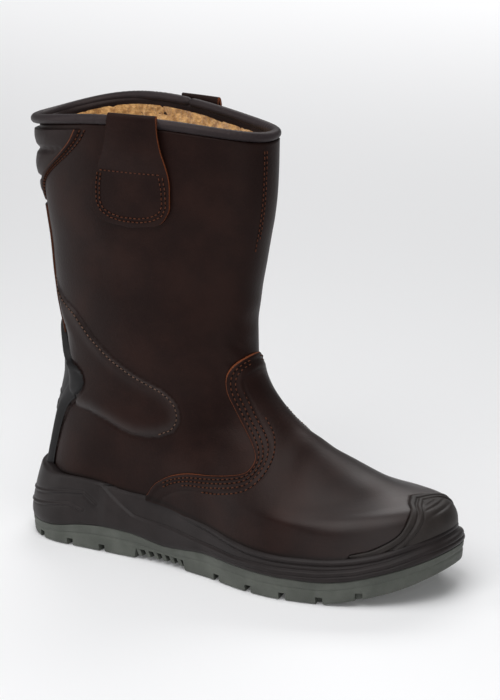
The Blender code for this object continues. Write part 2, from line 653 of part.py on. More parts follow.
# The footprint is centred on the world origin.
bpy.context.view_layer.update()
graph = bpy.context.evaluated_depsgraph_get()
corners = []
for piece in boot.objects:
    if piece.type in {"MESH", "CURVE"}:
        mesh = piece.evaluated_get(graph).to_mesh()
        corners += [vert.co[:] for vert in mesh.vertices]
        piece.evaluated_get(graph).to_mesh_clear()
corners = np.array(corners)
middle_of_box = (corners.max(axis=0) + corners.min(axis=0)) / 2
ground_point.location = (-middle_of_box[0], -middle_of_box[1], 0)
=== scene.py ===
"""Looks of a fur-lined pull-on rigger boot for the right foot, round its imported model.

Lengths are millimetres in the boot's own space, x from the heel to the toe, y to the inner side and
z up from the ground; world_place moves them to the model's frame, in metres.
"""

import bmesh
import bpy
import numpy as np
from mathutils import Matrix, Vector


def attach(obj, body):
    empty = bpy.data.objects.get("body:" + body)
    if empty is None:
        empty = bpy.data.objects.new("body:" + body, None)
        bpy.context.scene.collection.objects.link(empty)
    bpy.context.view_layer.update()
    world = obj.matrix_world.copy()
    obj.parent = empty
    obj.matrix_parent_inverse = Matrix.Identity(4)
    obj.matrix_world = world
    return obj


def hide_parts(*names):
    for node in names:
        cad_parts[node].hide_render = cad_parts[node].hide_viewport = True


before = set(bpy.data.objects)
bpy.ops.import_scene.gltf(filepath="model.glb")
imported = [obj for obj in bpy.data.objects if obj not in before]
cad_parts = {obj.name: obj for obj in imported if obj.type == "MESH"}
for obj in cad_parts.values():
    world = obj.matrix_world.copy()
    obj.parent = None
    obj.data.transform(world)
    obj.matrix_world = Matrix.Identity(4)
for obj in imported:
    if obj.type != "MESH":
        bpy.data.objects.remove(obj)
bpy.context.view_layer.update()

# Studio: a pale floor that runs out of sight, the camera a little above the boot and in front of
# its outer side, a broad soft light over the toe, a tall one behind the heel, a low one in front
# and a wide one far back that lights the floor.
MM = 0.001
BOOT_MIDDLE = np.array([153.16, -0.774, 0.0])
CAMERA_PLACE = (965.9, -1371.0, 590.4)
CAMERA_TARGET = (206.0, -76.7, 165.1)
SHAFT_MIDDLE = (150.0, 0.0, 130.0)
FLOOR_REACH = 12.0
FLOOR_DROP = 0.4
FLOOR_FINISH = {"Base Color": (0.86, 0.86, 0.87, 1.0), "Roughness": 0.9, "Emission Color": (1.0, 1.0, 1.0, 1.0),
                "Emission Strength": 0.07}


def world_place(points):
    """Boot space in millimetres to the model's frame in metres."""
    return (np.asarray(points, float) - BOOT_MIDDLE) * MM


def aim(thing, place, target):
    """Sets a camera or a lamp at a place of boot space, turned to a target there."""
    start = Vector(world_place(place))
    thing.location = start
    thing.rotation_euler = (Vector(world_place(target)) - start).to_track_quat("-Z", "Y").to_euler()


camera = bpy.data.objects.new("camera", bpy.data.cameras.new("camera"))
bpy.context.scene.collection.objects.link(camera)
aim(camera, CAMERA_PLACE, CAMERA_TARGET)
camera.data.lens = 133.7
camera.data.sensor_width = 36.0
camera.data.clip_end = 50.0
bpy.context.scene.camera = camera


def soft_light(name, place, size, energy, target=SHAFT_MIDDLE):
    """A rectangular softbox that faces a point of the boot."""
    lamp = bpy.data.lights.new(name, "AREA")
    lamp.shape = "RECTANGLE"
    lamp.size, lamp.size_y = size
    lamp.energy = energy
    box = bpy.data.objects.new(name, lamp)
    bpy.context.scene.collection.objects.link(box)
    aim(box, place, target)


soft_light("light over the toe", (215, -490, 1100), (0.9, 1.25), 11.5)
soft_light("tall light behind the heel", (-900, -700, 420), (0.5, 1.3), 5.0)
soft_light("wide light over the floor", (-900, 3400, 3000), (3.0, 3.0), 124.0, (-1250, 4050, 0))
soft_light("low light in front", (1100, -900, 350), (0.5, 0.9), 2.0)
world = bpy.data.worlds.new("studio")
world.use_nodes = True
world.node_tree.nodes["Background"].inputs["Color"].default_value = (0.93, 0.94, 0.95, 1.0)
world.node_tree.nodes["Background"].inputs["Strength"].default_value = 0.2
bpy.context.scene.world = world
bpy.context.scene.view_settings.view_transform = "Standard"

floor_mesh = bpy.data.meshes.new("floor")
floor_shape = bmesh.new()
bmesh.ops.create_grid(floor_shape, x_segments=1, y_segments=1, size=FLOOR_REACH)
floor_shape.to_mesh(floor_mesh)
floor_shape.free()
floor_paper = bpy.data.materials.new("floor paper")
floor_paper.use_nodes = True
for socket_name, setting in FLOOR_FINISH.items():
    floor_paper.node_tree.nodes["Principled BSDF"].inputs[socket_name].default_value = setting
floor_mesh.materials.append(floor_paper)
floor = bpy.data.objects.new("floor", floor_mesh)
floor.location.z = -FLOOR_DROP * MM
bpy.context.scene.collection.objects.link(floor)

# The upper: oiled brown leather, quarters and shaft in one skin, turned in under the foot. The outer
# quarter laps over the inner one down the shin, and the ankle pads swell between their seams.
FOOT = {
    "station": (0, 40, 80, 115, 150, 185, 215, 245, 275, 310),
    "middle": (0, 0, -0.5, -2.5, -4, -4, -1.5, 2, 5.5, 8.5),
    "sole_half": (40, 42, 41, 39, 43, 52, 56.5, 54.5, 49, 44),
    "leather_half": (34, 35.5, 34.5, 33.5, 37, 46, 51, 49, 43.5, 38.5),
}
RING = {
    "back_x": (25, 17, 13.2, 12, 12.2, 13, 14, 15.2, 16.4, 17.6, 18.8, 20.5, 23.5, 26, 26.2, 24.5, 22,
               20, 18.2, 17, 15, 13.2, 11.5, 11, 10.2),
    "back_z": (26, 26.2, 30, 35, 40, 45, 50, 56, 62, 69, 77, 87, 99, 113, 128, 141, 153,
               164, 181, 199, 214, 227, 241, 257, 274.3),
    "front_x": (285, 293.5, 298, 299.6, 299.2, 296.8, 290.5, 278.5, 264, 248, 230, 212, 196, 181.5, 171.5, 165.5,
                162.5, 162.2, 164.8, 168.6, 171.6, 174.3, 176.2, 177, 177.3),
    "front_z": (26, 26.2, 31, 38, 45.6, 51.8, 56, 58.2, 61.6, 67.5, 74.6, 83.2, 91.7, 103.8, 115.2, 127,
                140, 154, 177, 197, 213, 227, 243, 260, 276.5),
    "nose": (58, 60, 62, 62, 63, 66, 76, 95, 115, 130, 140, 148, 148, 130, 106, 88,
             80, 80, 86, 92, 98, 102, 106, 109, 112),
    "heel": (38, 40, 42, 42, 43, 44, 45, 47, 49, 51, 54, 58, 62, 66, 68, 70,
             71, 71, 70, 69, 68, 67, 66, 65, 64),
    "leg": (0, 0, 0, 0, 0, 0, 0.02, 0.05, 0.1, 0.2, 0.35, 0.5, 0.68, 0.84, 0.95, 1,
            1, 1, 1, 1, 1, 1, 1, 1, 1),
    "leg_half": (35, 35, 35, 35, 35, 35, 35, 35, 35, 35, 35, 35, 35, 35, 35.5, 36,
                 36.6, 37.2, 38.4, 39.6, 40.6, 41.4, 42.2, 43, 43.6),
    "sole": (1, 1, 1, 1, 0.95, 0.9, 0.8, 0.65, 0.5, 0.35, 0.2, 0.1, 0, 0, 0, 0,
             0, 0, 0, 0, 0, 0, 0, 0, 0),
    "saddle": (0, 0, 0, 0, 0, 0, 0, 0, 0, 0, 0, 0, 0, 0, 0, 0,
               0, 0, 0, 0.5, 1.5, 3, 5, 7.3, 9.5),
    "inset": (11, 4, 0.8, 0, 0, 0, 0, 0, 0, 0, 0, 0, 0, 0, 0, 0,
              0, 0, 0, 0, 0, 0, 0, 0, 0),
}
DIP = {"station": (12, 60, 110, 150, 200, 230, 262, 290, 303), "drop": (0, 0.3, 3, 5, 7.6, 7.8, 5, 1, 0)}
TOP_LEVEL = 24.0
RING_FULLNESS = 2.15
HALF_TURN = np.pi
HALVINGS = 30


def smooth(table, name, at, key="station"):
    """Monotone cubic through one column of a table."""
    known = np.asarray(table[key], float) if key else np.arange(len(table[name]), dtype=float)
    value = np.asarray(table[name], float)
    step = np.diff(known)
    rise = np.diff(value) / step
    slope = np.zeros_like(value)
    slope[0], slope[-1] = rise[0], rise[-1]
    same_way = rise[:-1] * rise[1:] > 0
    before = (2 * step[1:] + step[:-1])[same_way]
    after = (step[1:] + 2 * step[:-1])[same_way]
    slope[1:-1][same_way] = (before + after) / (before / rise[:-1][same_way] + after / rise[1:][same_way])
    at = np.clip(np.asarray(at, float), known[0], known[-1])
    row = np.clip(np.searchsorted(known, at, side="right") - 1, 0, len(known) - 2)
    width = step[row]
    t = (at - known[row]) / width
    ends = value[row] * (1 + 2 * t) * (1 - t) ** 2 + value[row + 1] * t * t * (3 - 2 * t)
    return ends + width * (slope[row] * t * (1 - t) ** 2 + slope[row + 1] * t * t * (t - 1))


def ring_at(name, level):
    """A column of RING at a level, which counts its rows."""
    return smooth(RING, name, level, None)


def spread(first, second):
    """Two inputs as arrays of one shape."""
    return np.broadcast_arrays(np.asarray(first, float), np.asarray(second, float))


def full_turn(count):
    """Angles of a number of points all round."""
    return np.linspace(0, 2 * HALF_TURN, count, endpoint=False)


def round_off(share, fullness):
    """A nose's half width, from 0 at its tip to 1, along a superellipse."""
    left = 1 - np.clip(share, 0, 1)
    return (1 - left ** fullness) ** (1 / fullness)


def height_on(level, x, angle):
    """Height of a ring of the face: it rises to the front, dips under the foot and is saddled at the
    collar, less so on the inner side."""
    back, front = ring_at("back_z", level), ring_at("front_z", level)
    drop = ring_at("sole", level) * smooth(DIP, "drop", x)
    inner = np.where(np.sin(angle) < 0, 0.8 + 0.95 * np.cos(angle), 1)
    saddle = ring_at("saddle", level) * np.sin(angle) ** 2 * inner
    return back + (front - back) * (1 - np.cos(angle)) / 2 - drop + saddle


def face(angle, level):
    """The leather's outer face: angle 0 at the back, a quarter turn on the outer side."""
    angle, level = spread(angle, level)
    back, front = ring_at("back_x", level), ring_at("front_x", level)
    x = back + (front - back) * (1 - np.cos(angle)) / 2
    leg = ring_at("leg", level)
    half = smooth(FOOT, "leather_half", x) - ring_at("inset", level)
    half = half * (1 - leg) + ring_at("leg_half", level) * leg
    half = half * round_off((front - x) / ring_at("nose", level), RING_FULLNESS)
    half = half * round_off((x - back) / ring_at("heel", level), RING_FULLNESS)
    y = smooth(FOOT, "middle", x) * (1 - leg) - np.sign(np.sin(angle)) * half
    return np.stack([x, y, height_on(level, x, angle)], -1)


def normal_at(angle, level):
    """Outward normal of the face."""
    step = 1e-3
    around = face(angle + step, level) - face(angle - step, level)
    over, under = (face(angle, np.clip(level + rise, 0, TOP_LEVEL)) for rise in (10 * step, -10 * step))
    along = over - under
    normal = np.cross(around, along)
    return normal / np.linalg.norm(normal, axis=-1, keepdims=True)


def surface(angle, level, offset=0.0):
    """The face moved outwards by an offset."""
    angle, level = spread(angle, level)
    return face(angle, level) + normal_at(angle, level) * np.broadcast_to(offset, angle.shape)[..., None]


def find_level(is_under, shape):
    """Level where a rule stops being true, by halving the span from the lowest to the highest."""
    low, high = np.zeros(shape), np.full(shape, TOP_LEVEL)
    for _ in range(HALVINGS):
        middle = (low + high) / 2
        under = is_under(middle)
        low, high = np.where(under, middle, low), np.where(under, high, middle)
    return (low + high) / 2


def level_at(angle, height):
    """Level of the face at an angle and a height."""
    angle, height = spread(angle, height)
    return find_level(lambda level: face(angle, level)[..., 2] < height, angle.shape)


def side_spot(x, height, inner):
    """Angle and level of the point that a side view shows at x and height."""
    x, height = spread(x, height)

    def turn_at(level):
        back = ring_at("back_x", level)
        return np.arccos(1 - 2 * np.clip((x - back) / (ring_at("front_x", level) - back), 0, 1))

    level = find_level(lambda middle: height_on(middle, x, turn_at(middle)) < height, x.shape)
    angle = turn_at(level)
    return (2 * HALF_TURN - angle if inner else angle), level


def grid_faces(rows, columns, ring):
    """Quads of a grid of points; a ring's last column joins its first."""
    r = np.arange(rows - 1)[:, None]
    c = np.arange(columns if ring else columns - 1)[None, :]
    a = r * columns + c
    b = r * columns + (c + 1) % columns
    return np.stack([a, b, b + columns, a + columns], -1).reshape(-1, 4)


def add_piece(name, points, quads, material, replaced=(), marks=None):
    """A smooth mesh that rides on the boot, from points in boot space. marks are values that its
    material reads for each point."""
    mesh = bpy.data.meshes.new(name)
    mesh.from_pydata(world_place(points).tolist(), [], [list(map(int, quad)) for quad in quads])
    for mark, values in (marks or {}).items():
        layer = mesh.attributes.new(mark, "FLOAT", "POINT")
        layer.data.foreach_set("value", np.asarray(values, np.float32).ravel())
    mesh.validate()
    shape = bmesh.new()
    shape.from_mesh(mesh)
    bmesh.ops.recalc_face_normals(shape, faces=shape.faces)
    shape.to_mesh(mesh)
    shape.free()
    mesh.shade_smooth()
    mesh.materials.append(material)
    piece = bpy.data.objects.new(name, mesh)
    bpy.context.scene.collection.objects.link(piece)
    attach(piece, "root")
    if replaced:
        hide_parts(*replaced)
    return piece


class Wire:
    """An output of a shader node. Its arithmetic adds Math nodes to the tree."""

    def __init__(self, tree, socket=None):
        self.tree = tree
        self.socket = socket

    def node(self, kind, settings, inputs, out=0):
        """Adds a node: its settings come first, then the values or wires of its sockets."""
        made = self.tree.nodes.new(kind)
        for name, value in settings.items():
            setattr(made, name, value)
        for name, value in inputs.items():
            if isinstance(value, Wire):
                self.tree.links.new(value.socket, made.inputs[name])
            else:
                made.inputs[name].default_value = value
        return Wire(self.tree, made.outputs[out])

    def math(self, operation, *values):
        return self.node("ShaderNodeMath", {"operation": operation}, dict(enumerate(values)))

    def __add__(self, other):
        return self.math("ADD", self, other)

    def __sub__(self, other):
        return self.math("SUBTRACT", self, other)

    def __rsub__(self, other):
        return self.math("SUBTRACT", other, self)

    def __mul__(self, other):
        return self.math("MULTIPLY", self, other)

    __radd__ = __add__
    __rmul__ = __mul__

    def between(self, low, high):
        """0 under low, 1 over high, smooth between."""
        return self.node("ShaderNodeMapRange", {"interpolation_type": "SMOOTHSTEP"},
                         {"Value": self, "From Min": low, "From Max": high})

    def tint(self, first, second):
        """The first colour where this value is 0 and the second where it is 1."""
        colors = {}
        for place, color in ((6, first), (7, second)):
            colors[place] = color if isinstance(color, Wire) else (*color, 1.0)
        return self.node("ShaderNodeMix", {"data_type": "RGBA"}, {0: self, **colors}, 2)

    def texture(self, kind, **inputs):
        """A texture in object space, which counts in metres."""
        place = self.node("ShaderNodeTexCoord", {}, {}, "Object")
        return self.node(kind, {}, {"Vector": place, **inputs})

    def noise(self, scale, detail=3.0, roughness=0.55):
        """Soft noise, with a given number of lumps in a metre."""
        return self.texture("ShaderNodeTexNoise", Scale=scale, Detail=detail, Roughness=roughness)

    def cells(self, scale):
        """Distance from the nearest of many scattered points, like pores."""
        return self.texture("ShaderNodeTexVoronoi", Scale=scale)

    def mark(self, name):
        """A value stored with the mesh's points."""
        return self.node("ShaderNodeAttribute", {"attribute_name": name}, {}, "Fac")

    def feed(self, shader, socket_name):
        """Links this output to a socket of the finish's shader."""
        self.tree.links.new(self.socket, shader.inputs[socket_name])


def start_material(name, roughness, coat=0.0, coat_roughness=0.3, sheen=0.0, specular=0.3):
    """A material and its wires, with the values that don't vary over it."""
    material = bpy.data.materials.new(name)
    material.use_nodes = True
    shader = material.node_tree.nodes["Principled BSDF"]
    for socket_name, setting in (("Roughness", roughness), ("Coat Weight", coat), ("Coat Roughness", coat_roughness),
                                 ("Sheen Weight", sheen), ("Specular IOR Level", specular)):
        shader.inputs[socket_name].default_value = setting
    return material, Wire(material.node_tree), shader


def relief(tree, shader, height, depth):
    """Bump of a height that runs from 0 to 1 over a depth in millimetres."""
    bump = tree.node("ShaderNodeBump", {}, {"Height": height, "Distance": depth * MM, "Strength": 1.0})
    bump.feed(shader, "Normal")


def toned(color, share):
    """A colour made lighter or darker by a share."""
    return [value * share for value in color]


RAW_EDGE = (0.21, 0.058, 0.021)
GLOSS_TINT = (1.0, 0.78, 0.72, 1.0)
# Lumps in a metre of each thing that leather shows.
CLOUDS, FLECKS, FIBRES, PORES, PEBBLES = 28.0, 900.0, 1500.0, 1150.0, 420.0
GRAIN_DEPTH = 0.11
OIL_COAT, POLISH_COAT = 0.02, 0.6


def leather(name, dark, warm):
    """Oiled, waxed leather: fine pebbled grain, clouds of a warmer brown, dry rust-coloured edges where the mesh is
    marked raw, a darker painted shade along seams, grooves and gaps where the mesh is marked for it, and wax where it
    is marked polish."""
    material, tree, shader = start_material(name, 0.42, coat=0.1, coat_roughness=0.46, specular=0.13)
    shader.inputs["Specular Tint"].default_value = GLOSS_TINT
    clouds = tree.noise(CLOUDS, 4.0)
    color = clouds.between(0.35, 0.72).tint(dark, warm)
    fleck = tree.noise(FLECKS, 2.0)
    color = (fleck.between(0.58, 0.8) * 0.35).tint(color, toned(warm, 1.9))
    # Where the mesh is marked for it the colour darkens: painted shade in seams, grooves and gaps.
    color = (tree.mark("painted_shade") * 0.45).tint(color, toned(dark, 0.35))
    raw = tree.mark("raw")
    fibre = tree.noise(FIBRES, 2.0)
    edge = fibre.between(0.3, 0.7).tint(RAW_EDGE, toned(RAW_EDGE, 0.55))
    raw.between(0.25, 0.7).tint(color, edge).feed(shader, "Base Color")
    (0.34 + clouds * 0.14 + fleck * 0.06 + raw * 0.35).feed(shader, "Roughness")
    (OIL_COAT + tree.mark("polish") * POLISH_COAT).feed(shader, "Coat Weight")
    grain = (1 - tree.cells(PORES)) * 0.5 + tree.noise(PEBBLES, 4.0) * 0.9 + fibre * 0.25
    relief(tree, shader, grain, GRAIN_DEPTH)
    return material


brown_leather = leather("brown oiled leather", (0.0078, 0.0031, 0.0027), (0.016, 0.0064, 0.005))

RIM = {
    "station": (0, 14, 26, 50, 67, 78, 102, 120, 139, 158, 177, 195, 212, 237, 258, 273, 287, 298, 307),
    "height": (49, 48.6, 46.5, 47, 46, 43.6, 42.7, 41, 37.6, 34.4, 31, 29, 28.5, 29.2, 31.2, 33.9, 38, 41.7, 45),
    "lean": (8, 7, 6, 4.5, 4, 4, 4, 3.6, 3, 2.4, 1.8, 1.4, 1.2, 1.2, 1.2, 1.4, 1.6, 1.8, 2.2),
}
LAP_EDGE = np.radians(196)
ANKLE_SEAM = ((24, 176.7), (31.9, 168.3), (40, 163), (52.8, 156.8), (64.4, 143.3), (75.7, 132.5), (87.9, 122.8),
              (95.8, 118.1), (100.7, 115.1), (103.9, 110.6), (105.4, 105.5), (103.9, 99), (101.2, 93.6), (95.9, 87.7),
              (87.9, 83.3), (81.4, 81.9), (76.1, 81.8), (70.8, 84.1), (64.6, 88.5), (54.4, 92.4), (42.5, 93.6))


def spots(turns_and_heights):
    """Angles and levels of points that are given as degrees round the boot and heights."""
    turns, heights = np.array(turns_and_heights, float).T
    return np.stack([np.radians(turns), level_at(np.radians(turns), heights)], -1)


def side_line(turns_and_heights):
    """Side view of such points."""
    return face(*spots(turns_and_heights).T)[:, [0, 2]]


def distance_to(points, line, closed=False):
    """Distance of points from a line, in a side view or in space."""
    ends = np.roll(line, -1, axis=0) if closed else line[1:]
    nearest = np.full(points.shape[:-1], np.inf)
    for a, b in zip(line, ends):
        along = b - a
        t = np.clip(((points - a) @ along) / (along @ along), 0, 1)
        nearest = np.minimum(nearest, np.linalg.norm(points - a - t[..., None] * along, axis=-1))
    return nearest


def inside_of(points, line):
    """Whether side-view points lie inside a closed line."""
    inside = np.zeros(points.shape[:-1], bool)
    for a, b in zip(line, np.roll(line, -1, axis=0)):
        crosses = (a[1] > points[..., 1]) != (b[1] > points[..., 1])
        reach = a[0] + (points[..., 1] - a[1]) * (b[0] - a[0]) / np.where(b[1] == a[1], 1e-9, b[1] - a[1])
        inside ^= crosses & (points[..., 0] < reach)
    return inside


def dip_near(gap, width):
    """1 at no gap, and less to both sides over a width."""
    return np.exp(-(gap / width) ** 2)


GUARD_EDGE = ((22.5, 47.5), (22, 57), (24.2, 67), (28.8, 79), (35.3, 91.8), (43, 99.2), (50, 106.3), (51.9, 112),
              (50.4, 116.8), (45, 119.8), (37, 121.5), (29, 127), (20, 136), (10, 143.5), (2.5, 146))
ankle_line = side_line(ANKLE_SEAM)
guard_line = side_line(GUARD_EDGE)


def inside_guard(points):
    """Whether side-view points lie behind the heel guard's edge."""
    return inside_of(points, np.concatenate([guard_line, [[-20, 146], [-20, 47.5]]]))


ANKLE_SWELL = 3.1
LAP_STEP = 1.4
LAP_FOOT = 14
LEATHER_THICKNESS = 2.2
# Soft creases of the shaft, each as two ends in degrees and height, width and depth in millimetres.
CREASES = (
    ((150, 150), (183, 138), 5.0, -0.9), ((158, 163), (200, 158), 6.0, -0.7), ((146, 137), (168, 128), 4.0, -0.5),
    ((20, 150), (46, 136), 6.0, -0.8), ((0, 166), (30, 158), 7.0, -0.7), ((-30, 172), (0, 182), 8.0, -0.6),
    ((205, 150), (232, 128), 7.0, -0.8), ((300, 150), (330, 132), 7.0, -0.8), ((60, 196), (104, 178), 14.0, -0.7),
    ((112, 172), (150, 186), 12.0, -0.6), ((210, 200), (260, 182), 14.0, -0.8), ((96, 76), (124, 88), 9.0, -0.7),
)


def creases_at(angle, points):
    """Height of the soft creases at points of the skin."""
    total = np.zeros(angle.shape)
    turn = np.degrees(angle)
    for (start_turn, start_z), (stop_turn, stop_z), width, depth in CREASES:
        middle = (start_turn + stop_turn) / 2
        near = (turn - middle + 180) % 360 - 180
        half = (stop_turn - start_turn) / 2
        line_z = (start_z + stop_z) / 2 + (stop_z - start_z) / 2 * near / half + 2.5 * (near / half) ** 2
        fade = np.clip(1.25 - np.abs(near / half), 0, 1)
        gap = points[..., 2] - line_z
        total += depth * (dip_near(gap, width) - 0.45 * dip_near(gap - 1.7 * width, width)) * fade ** 1.5
    return total


def skin_height(angle, level, points):
    """Height of the finished skin above the plain face, in millimetres."""
    fade = np.clip(1 - (LAP_EDGE - angle) / np.radians(60), 0, 1)
    rise = np.clip((level - LAP_FOOT) / 2, 0, 1)
    step = np.clip((LAP_EDGE - angle) / 0.012, 0, 1)
    lap = LAP_STEP * fade ** 2 * rise * step * (angle < LAP_EDGE)
    side = points[..., [0, 2]]
    gap = distance_to(side, ankle_line, closed=True)
    swell = ANKLE_SWELL * (1 - np.exp(-gap / 3.4)) * inside_of(side, ankle_line)
    swell -= 0.5 * dip_near(gap, 1.3) * (points[..., 2] < 165)
    swell -= 1.1 * dip_near(distance_to(side, guard_line) - 0.6, 1.3) * ~inside_guard(side)
    return lap + swell + creases_at(angle, points) * np.clip((TOP_LEVEL - level) / 2, 0, 1)


UPPER_COLUMNS = 366
UPPER_ROWS = 200
INNER_ROWS = 30
UPPER_FOOT = 0.4
LAP_COLUMNS = (-0.016, -0.012, -0.008, -0.004, -0.001, 0.002)
around = np.sort(np.append(full_turn(UPPER_COLUMNS), LAP_EDGE + np.array(LAP_COLUMNS)))
levels = np.concatenate([[UPPER_FOOT, 1.2], np.linspace(1.9, TOP_LEVEL, UPPER_ROWS - 2)])
skin_angle, skin_level = np.meshgrid(around, levels)
skin_base = face(skin_angle, skin_level)
skin_points = surface(skin_angle, skin_level, skin_height(skin_angle, skin_level, skin_base))
inner_angle, inner_level = np.meshgrid(around, np.linspace(TOP_LEVEL, UPPER_FOOT, INNER_ROWS))
upper_points = np.concatenate([skin_points, surface(inner_angle, inner_level, -LEATHER_THICKNESS)])
rows, columns = upper_points.shape[:2]
skin_side = skin_base[..., [0, 2]]
seam_gap = distance_to(skin_side, ankle_line, closed=True)
over_rim = skin_base[..., 2] - smooth(RIM, "height", skin_base[..., 0])
skin_marks = {
    "raw": (np.abs(skin_angle - LAP_EDGE + 0.008) < 0.009) * np.clip(skin_level - LAP_FOOT - 0.6, 0, 1),
    # Painted shade: darker along the ankle pad's seam, round the heel guard's edge and just over the midsole's rim,
    # where those gaps lie in shade.
    "painted_shade": (0.6 * dip_near(seam_gap, 0.9) + 1.5 * dip_near(distance_to(skin_side, guard_line), 1.4)
             + 2 * dip_near(over_rim - 0.4, 1.7)),
    "polish": 0.62 * dip_near(seam_gap - 3, 4) * inside_of(skin_side, ankle_line),
}
# The inner face has no marks, and the last row of it joins the first of the outer one.
skin_marks = {mark: np.pad(value, ((0, INNER_ROWS), (0, 0))) for mark, value in skin_marks.items()}
add_piece("upper_skin", upper_points.reshape(-1, 3), grid_faces(rows + 1, columns, ring=True) % (rows * columns),
          brown_leather, ("upper", "ankle_pad_lateral", "ankle_pad_medial"), skin_marks)

# The vamp: one thicker piece of the same leather over the forefoot, with wings that run back along
# the sole and a throat up the shin. Its cut edge is left raw.
SOLE_LENGTH = 306.2
SOLE_TOE, SOLE_HEEL, SOLE_FULLNESS = 62.0, 42.0, 2.25


def sole_outline(angle, out=0.0):
    """Plan of the sole's flange, moved outwards by out."""
    def plan(turn):
        x = SOLE_LENGTH * (1 - np.cos(turn)) / 2
        half = smooth(FOOT, "sole_half", x)
        half = half * round_off((SOLE_LENGTH - x) / SOLE_TOE, SOLE_FULLNESS) * round_off(x / SOLE_HEEL, SOLE_FULLNESS)
        return np.stack([x, smooth(FOOT, "middle", x) - np.sign(np.sin(turn)) * half], -1)

    along = plan(angle + 1e-3) - plan(angle - 1e-3)
    normal = np.stack([along[..., 1], -along[..., 0]], -1)
    normal /= np.linalg.norm(normal, axis=-1, keepdims=True)
    return plan(angle) + normal * np.broadcast_to(out, angle.shape)[..., None]


def rim_level(angle, above=0.0):
    """Level on the upper where the midsole's rim meets it."""
    return level_at(angle, smooth(RIM, "height", sole_outline(angle)[..., 0]) + above)


VAMP_EDGE = {
    "turn": (69.4, 72.3, 77.7, 85.7, 93.2, 100.3, 112, 118.9, 124.7, 129.6, 133.1, 136.5, 139.1, 141.5, 144.1,
             148.8, 156.3, 165, 174.7, 180),
    "height": (43.5, 50.3, 56.4, 61.9, 64.9, 66, 68.7, 71, 74.8, 79.1, 84.1, 92.7, 103.2, 115.4, 121.8,
               128.3, 133.3, 136.2, 137.7, 138),
}
BUMPER_EDGE = {
    "turn": (134.2, 140.2, 146, 151.3, 156.2, 162.8, 171, 180),
    "level": (3.2, 3.36, 3.72, 4.3, 5.22, 6.15, 6.95, 7.35),
}
BUMPER_START = BUMPER_EDGE["turn"][0]
VAMP_HEIGHT = 2.7
VAMP_COLUMNS = 330
VAMP_ROWS = 120
VAMP_WALL = ((1.0, 1.0), (0.3, 0.8), (-0.6, 0.2))
TOE_CAP_BACK, TOE_CAP_STEP = 246, 0.45
# Each fold of the instep: where it would meet the ground, its slant, width, middle and reach in
# degrees, and depth.
FOLDS = ((232, 0.25, 7, 150, 26, 0.9), (214, 0.2, 6, 158, 24, 0.7))


def folded(turn):
    """Degrees round the boot with the inner side laid on the outer."""
    return 180 - np.abs(180 - turn)


def vamp_height(angle, level, edge_gap):
    """Height of the vamp's skin: full over most of it, rounded off at its cut edge, sunk under the
    bumper, with two shallow folds where the foot bends and a low step over the toe cap's back edge."""
    points = face(angle, level)
    turn = folded(np.degrees(angle))
    bumper = smooth(BUMPER_EDGE, "level", turn, "turn")
    sunk = np.where(turn > BUMPER_START, np.clip((bumper + 0.02 - level) / 0.06, 0, 1), 0)
    stitched = dip_near(edge_gap - 4.0, 2.2) * 0.35 + dip_near(edge_gap - 10.4, 1.2) * 0.3
    bend = 0
    for ground, slant, width, middle, reach, depth in FOLDS:
        across = points[..., 0] + slant * points[..., 2] - ground
        bend = bend - depth * dip_near(across, width) * dip_near(turn - middle, reach)
    cap_gap = points[..., 0] - TOE_CAP_BACK + 0.1 * np.abs(points[..., 1])
    cap = TOE_CAP_STEP * (np.tanh(cap_gap / 7) + 1) / 2
    puff = 0.8 * dip_near(edge_gap - 9, 3.5) * dip_near(points[..., 2] - 128, 18)
    flat = VAMP_HEIGHT - 1.2 * np.exp(-edge_gap / 0.9) - 2.1 * sunk
    return flat - stitched + bend * np.clip(edge_gap / 12, 0, 1) + cap + puff


vamp_turn = np.linspace(VAMP_EDGE["turn"][0], 360 - VAMP_EDGE["turn"][0], VAMP_COLUMNS)
vamp_column = np.radians(vamp_turn)
vamp_top = level_at(vamp_column, smooth(VAMP_EDGE, "height", folded(vamp_turn), "turn"))
under_bumper = smooth(BUMPER_EDGE, "level", folded(vamp_turn), "turn") - 0.45
tucked = rim_level(vamp_column, -2.5)
vamp_low = np.where(folded(vamp_turn) > BUMPER_START, np.maximum(tucked, under_bumper), tucked)
vamp_low = np.minimum(vamp_low, vamp_top - 0.02)
share = np.linspace(0, 1, VAMP_ROWS)[:, None] ** 0.9
vamp_level = vamp_low + (vamp_top - vamp_low) * share
vamp_angle = np.broadcast_to(vamp_column, vamp_level.shape)
vamp_base = face(vamp_angle, vamp_level)
edge_points = face(vamp_column, vamp_top)
edge_gap = distance_to(vamp_base, edge_points)
vamp_skin = surface(vamp_angle, vamp_level, vamp_height(vamp_angle, vamp_level, edge_gap))
vamp_wall = np.stack([surface(vamp_column, vamp_top, offset) for offset, raw in VAMP_WALL])
over_rim = vamp_base[..., 2] - smooth(RIM, "height", vamp_base[..., 0])
vamp_marks = {
    "raw": np.clip(1 - edge_gap / 0.4, 0, 1),
    # Painted shade in the sunk stitch rows and just over the midsole's rim.
    "painted_shade": (dip_near(edge_gap - 4.6, 2.6) * 0.7 + dip_near(edge_gap - 10.4, 0.9) * 0.6
             + 2 * dip_near(over_rim - 0.4, 1.6)),
    "polish": np.clip((vamp_base[..., 0] - 200) / 70, 0.1, 1) * np.clip(edge_gap / 12, 0.1, 1),
}
vamp_marks = {mark: np.pad(value, ((0, len(VAMP_WALL)), (0, 0))) for mark, value in vamp_marks.items()}
vamp_marks["raw"][VAMP_ROWS:] = np.array([raw for offset, raw in VAMP_WALL])[:, None]
add_piece("vamp_leather", np.concatenate([vamp_skin, vamp_wall]).reshape(-1, 3),
          grid_faces(VAMP_ROWS + len(VAMP_WALL), VAMP_COLUMNS, ring=False), brown_leather, ("vamp",),
          vamp_marks)

# The stitches: waxed rust-brown thread, each stitch a short bead that dips into the leather at its
# ends, in rows that keep an even distance from the edge they hold.
STITCH = 1.9
STITCH_GAP = 1.5
STITCH_SECTION = 6
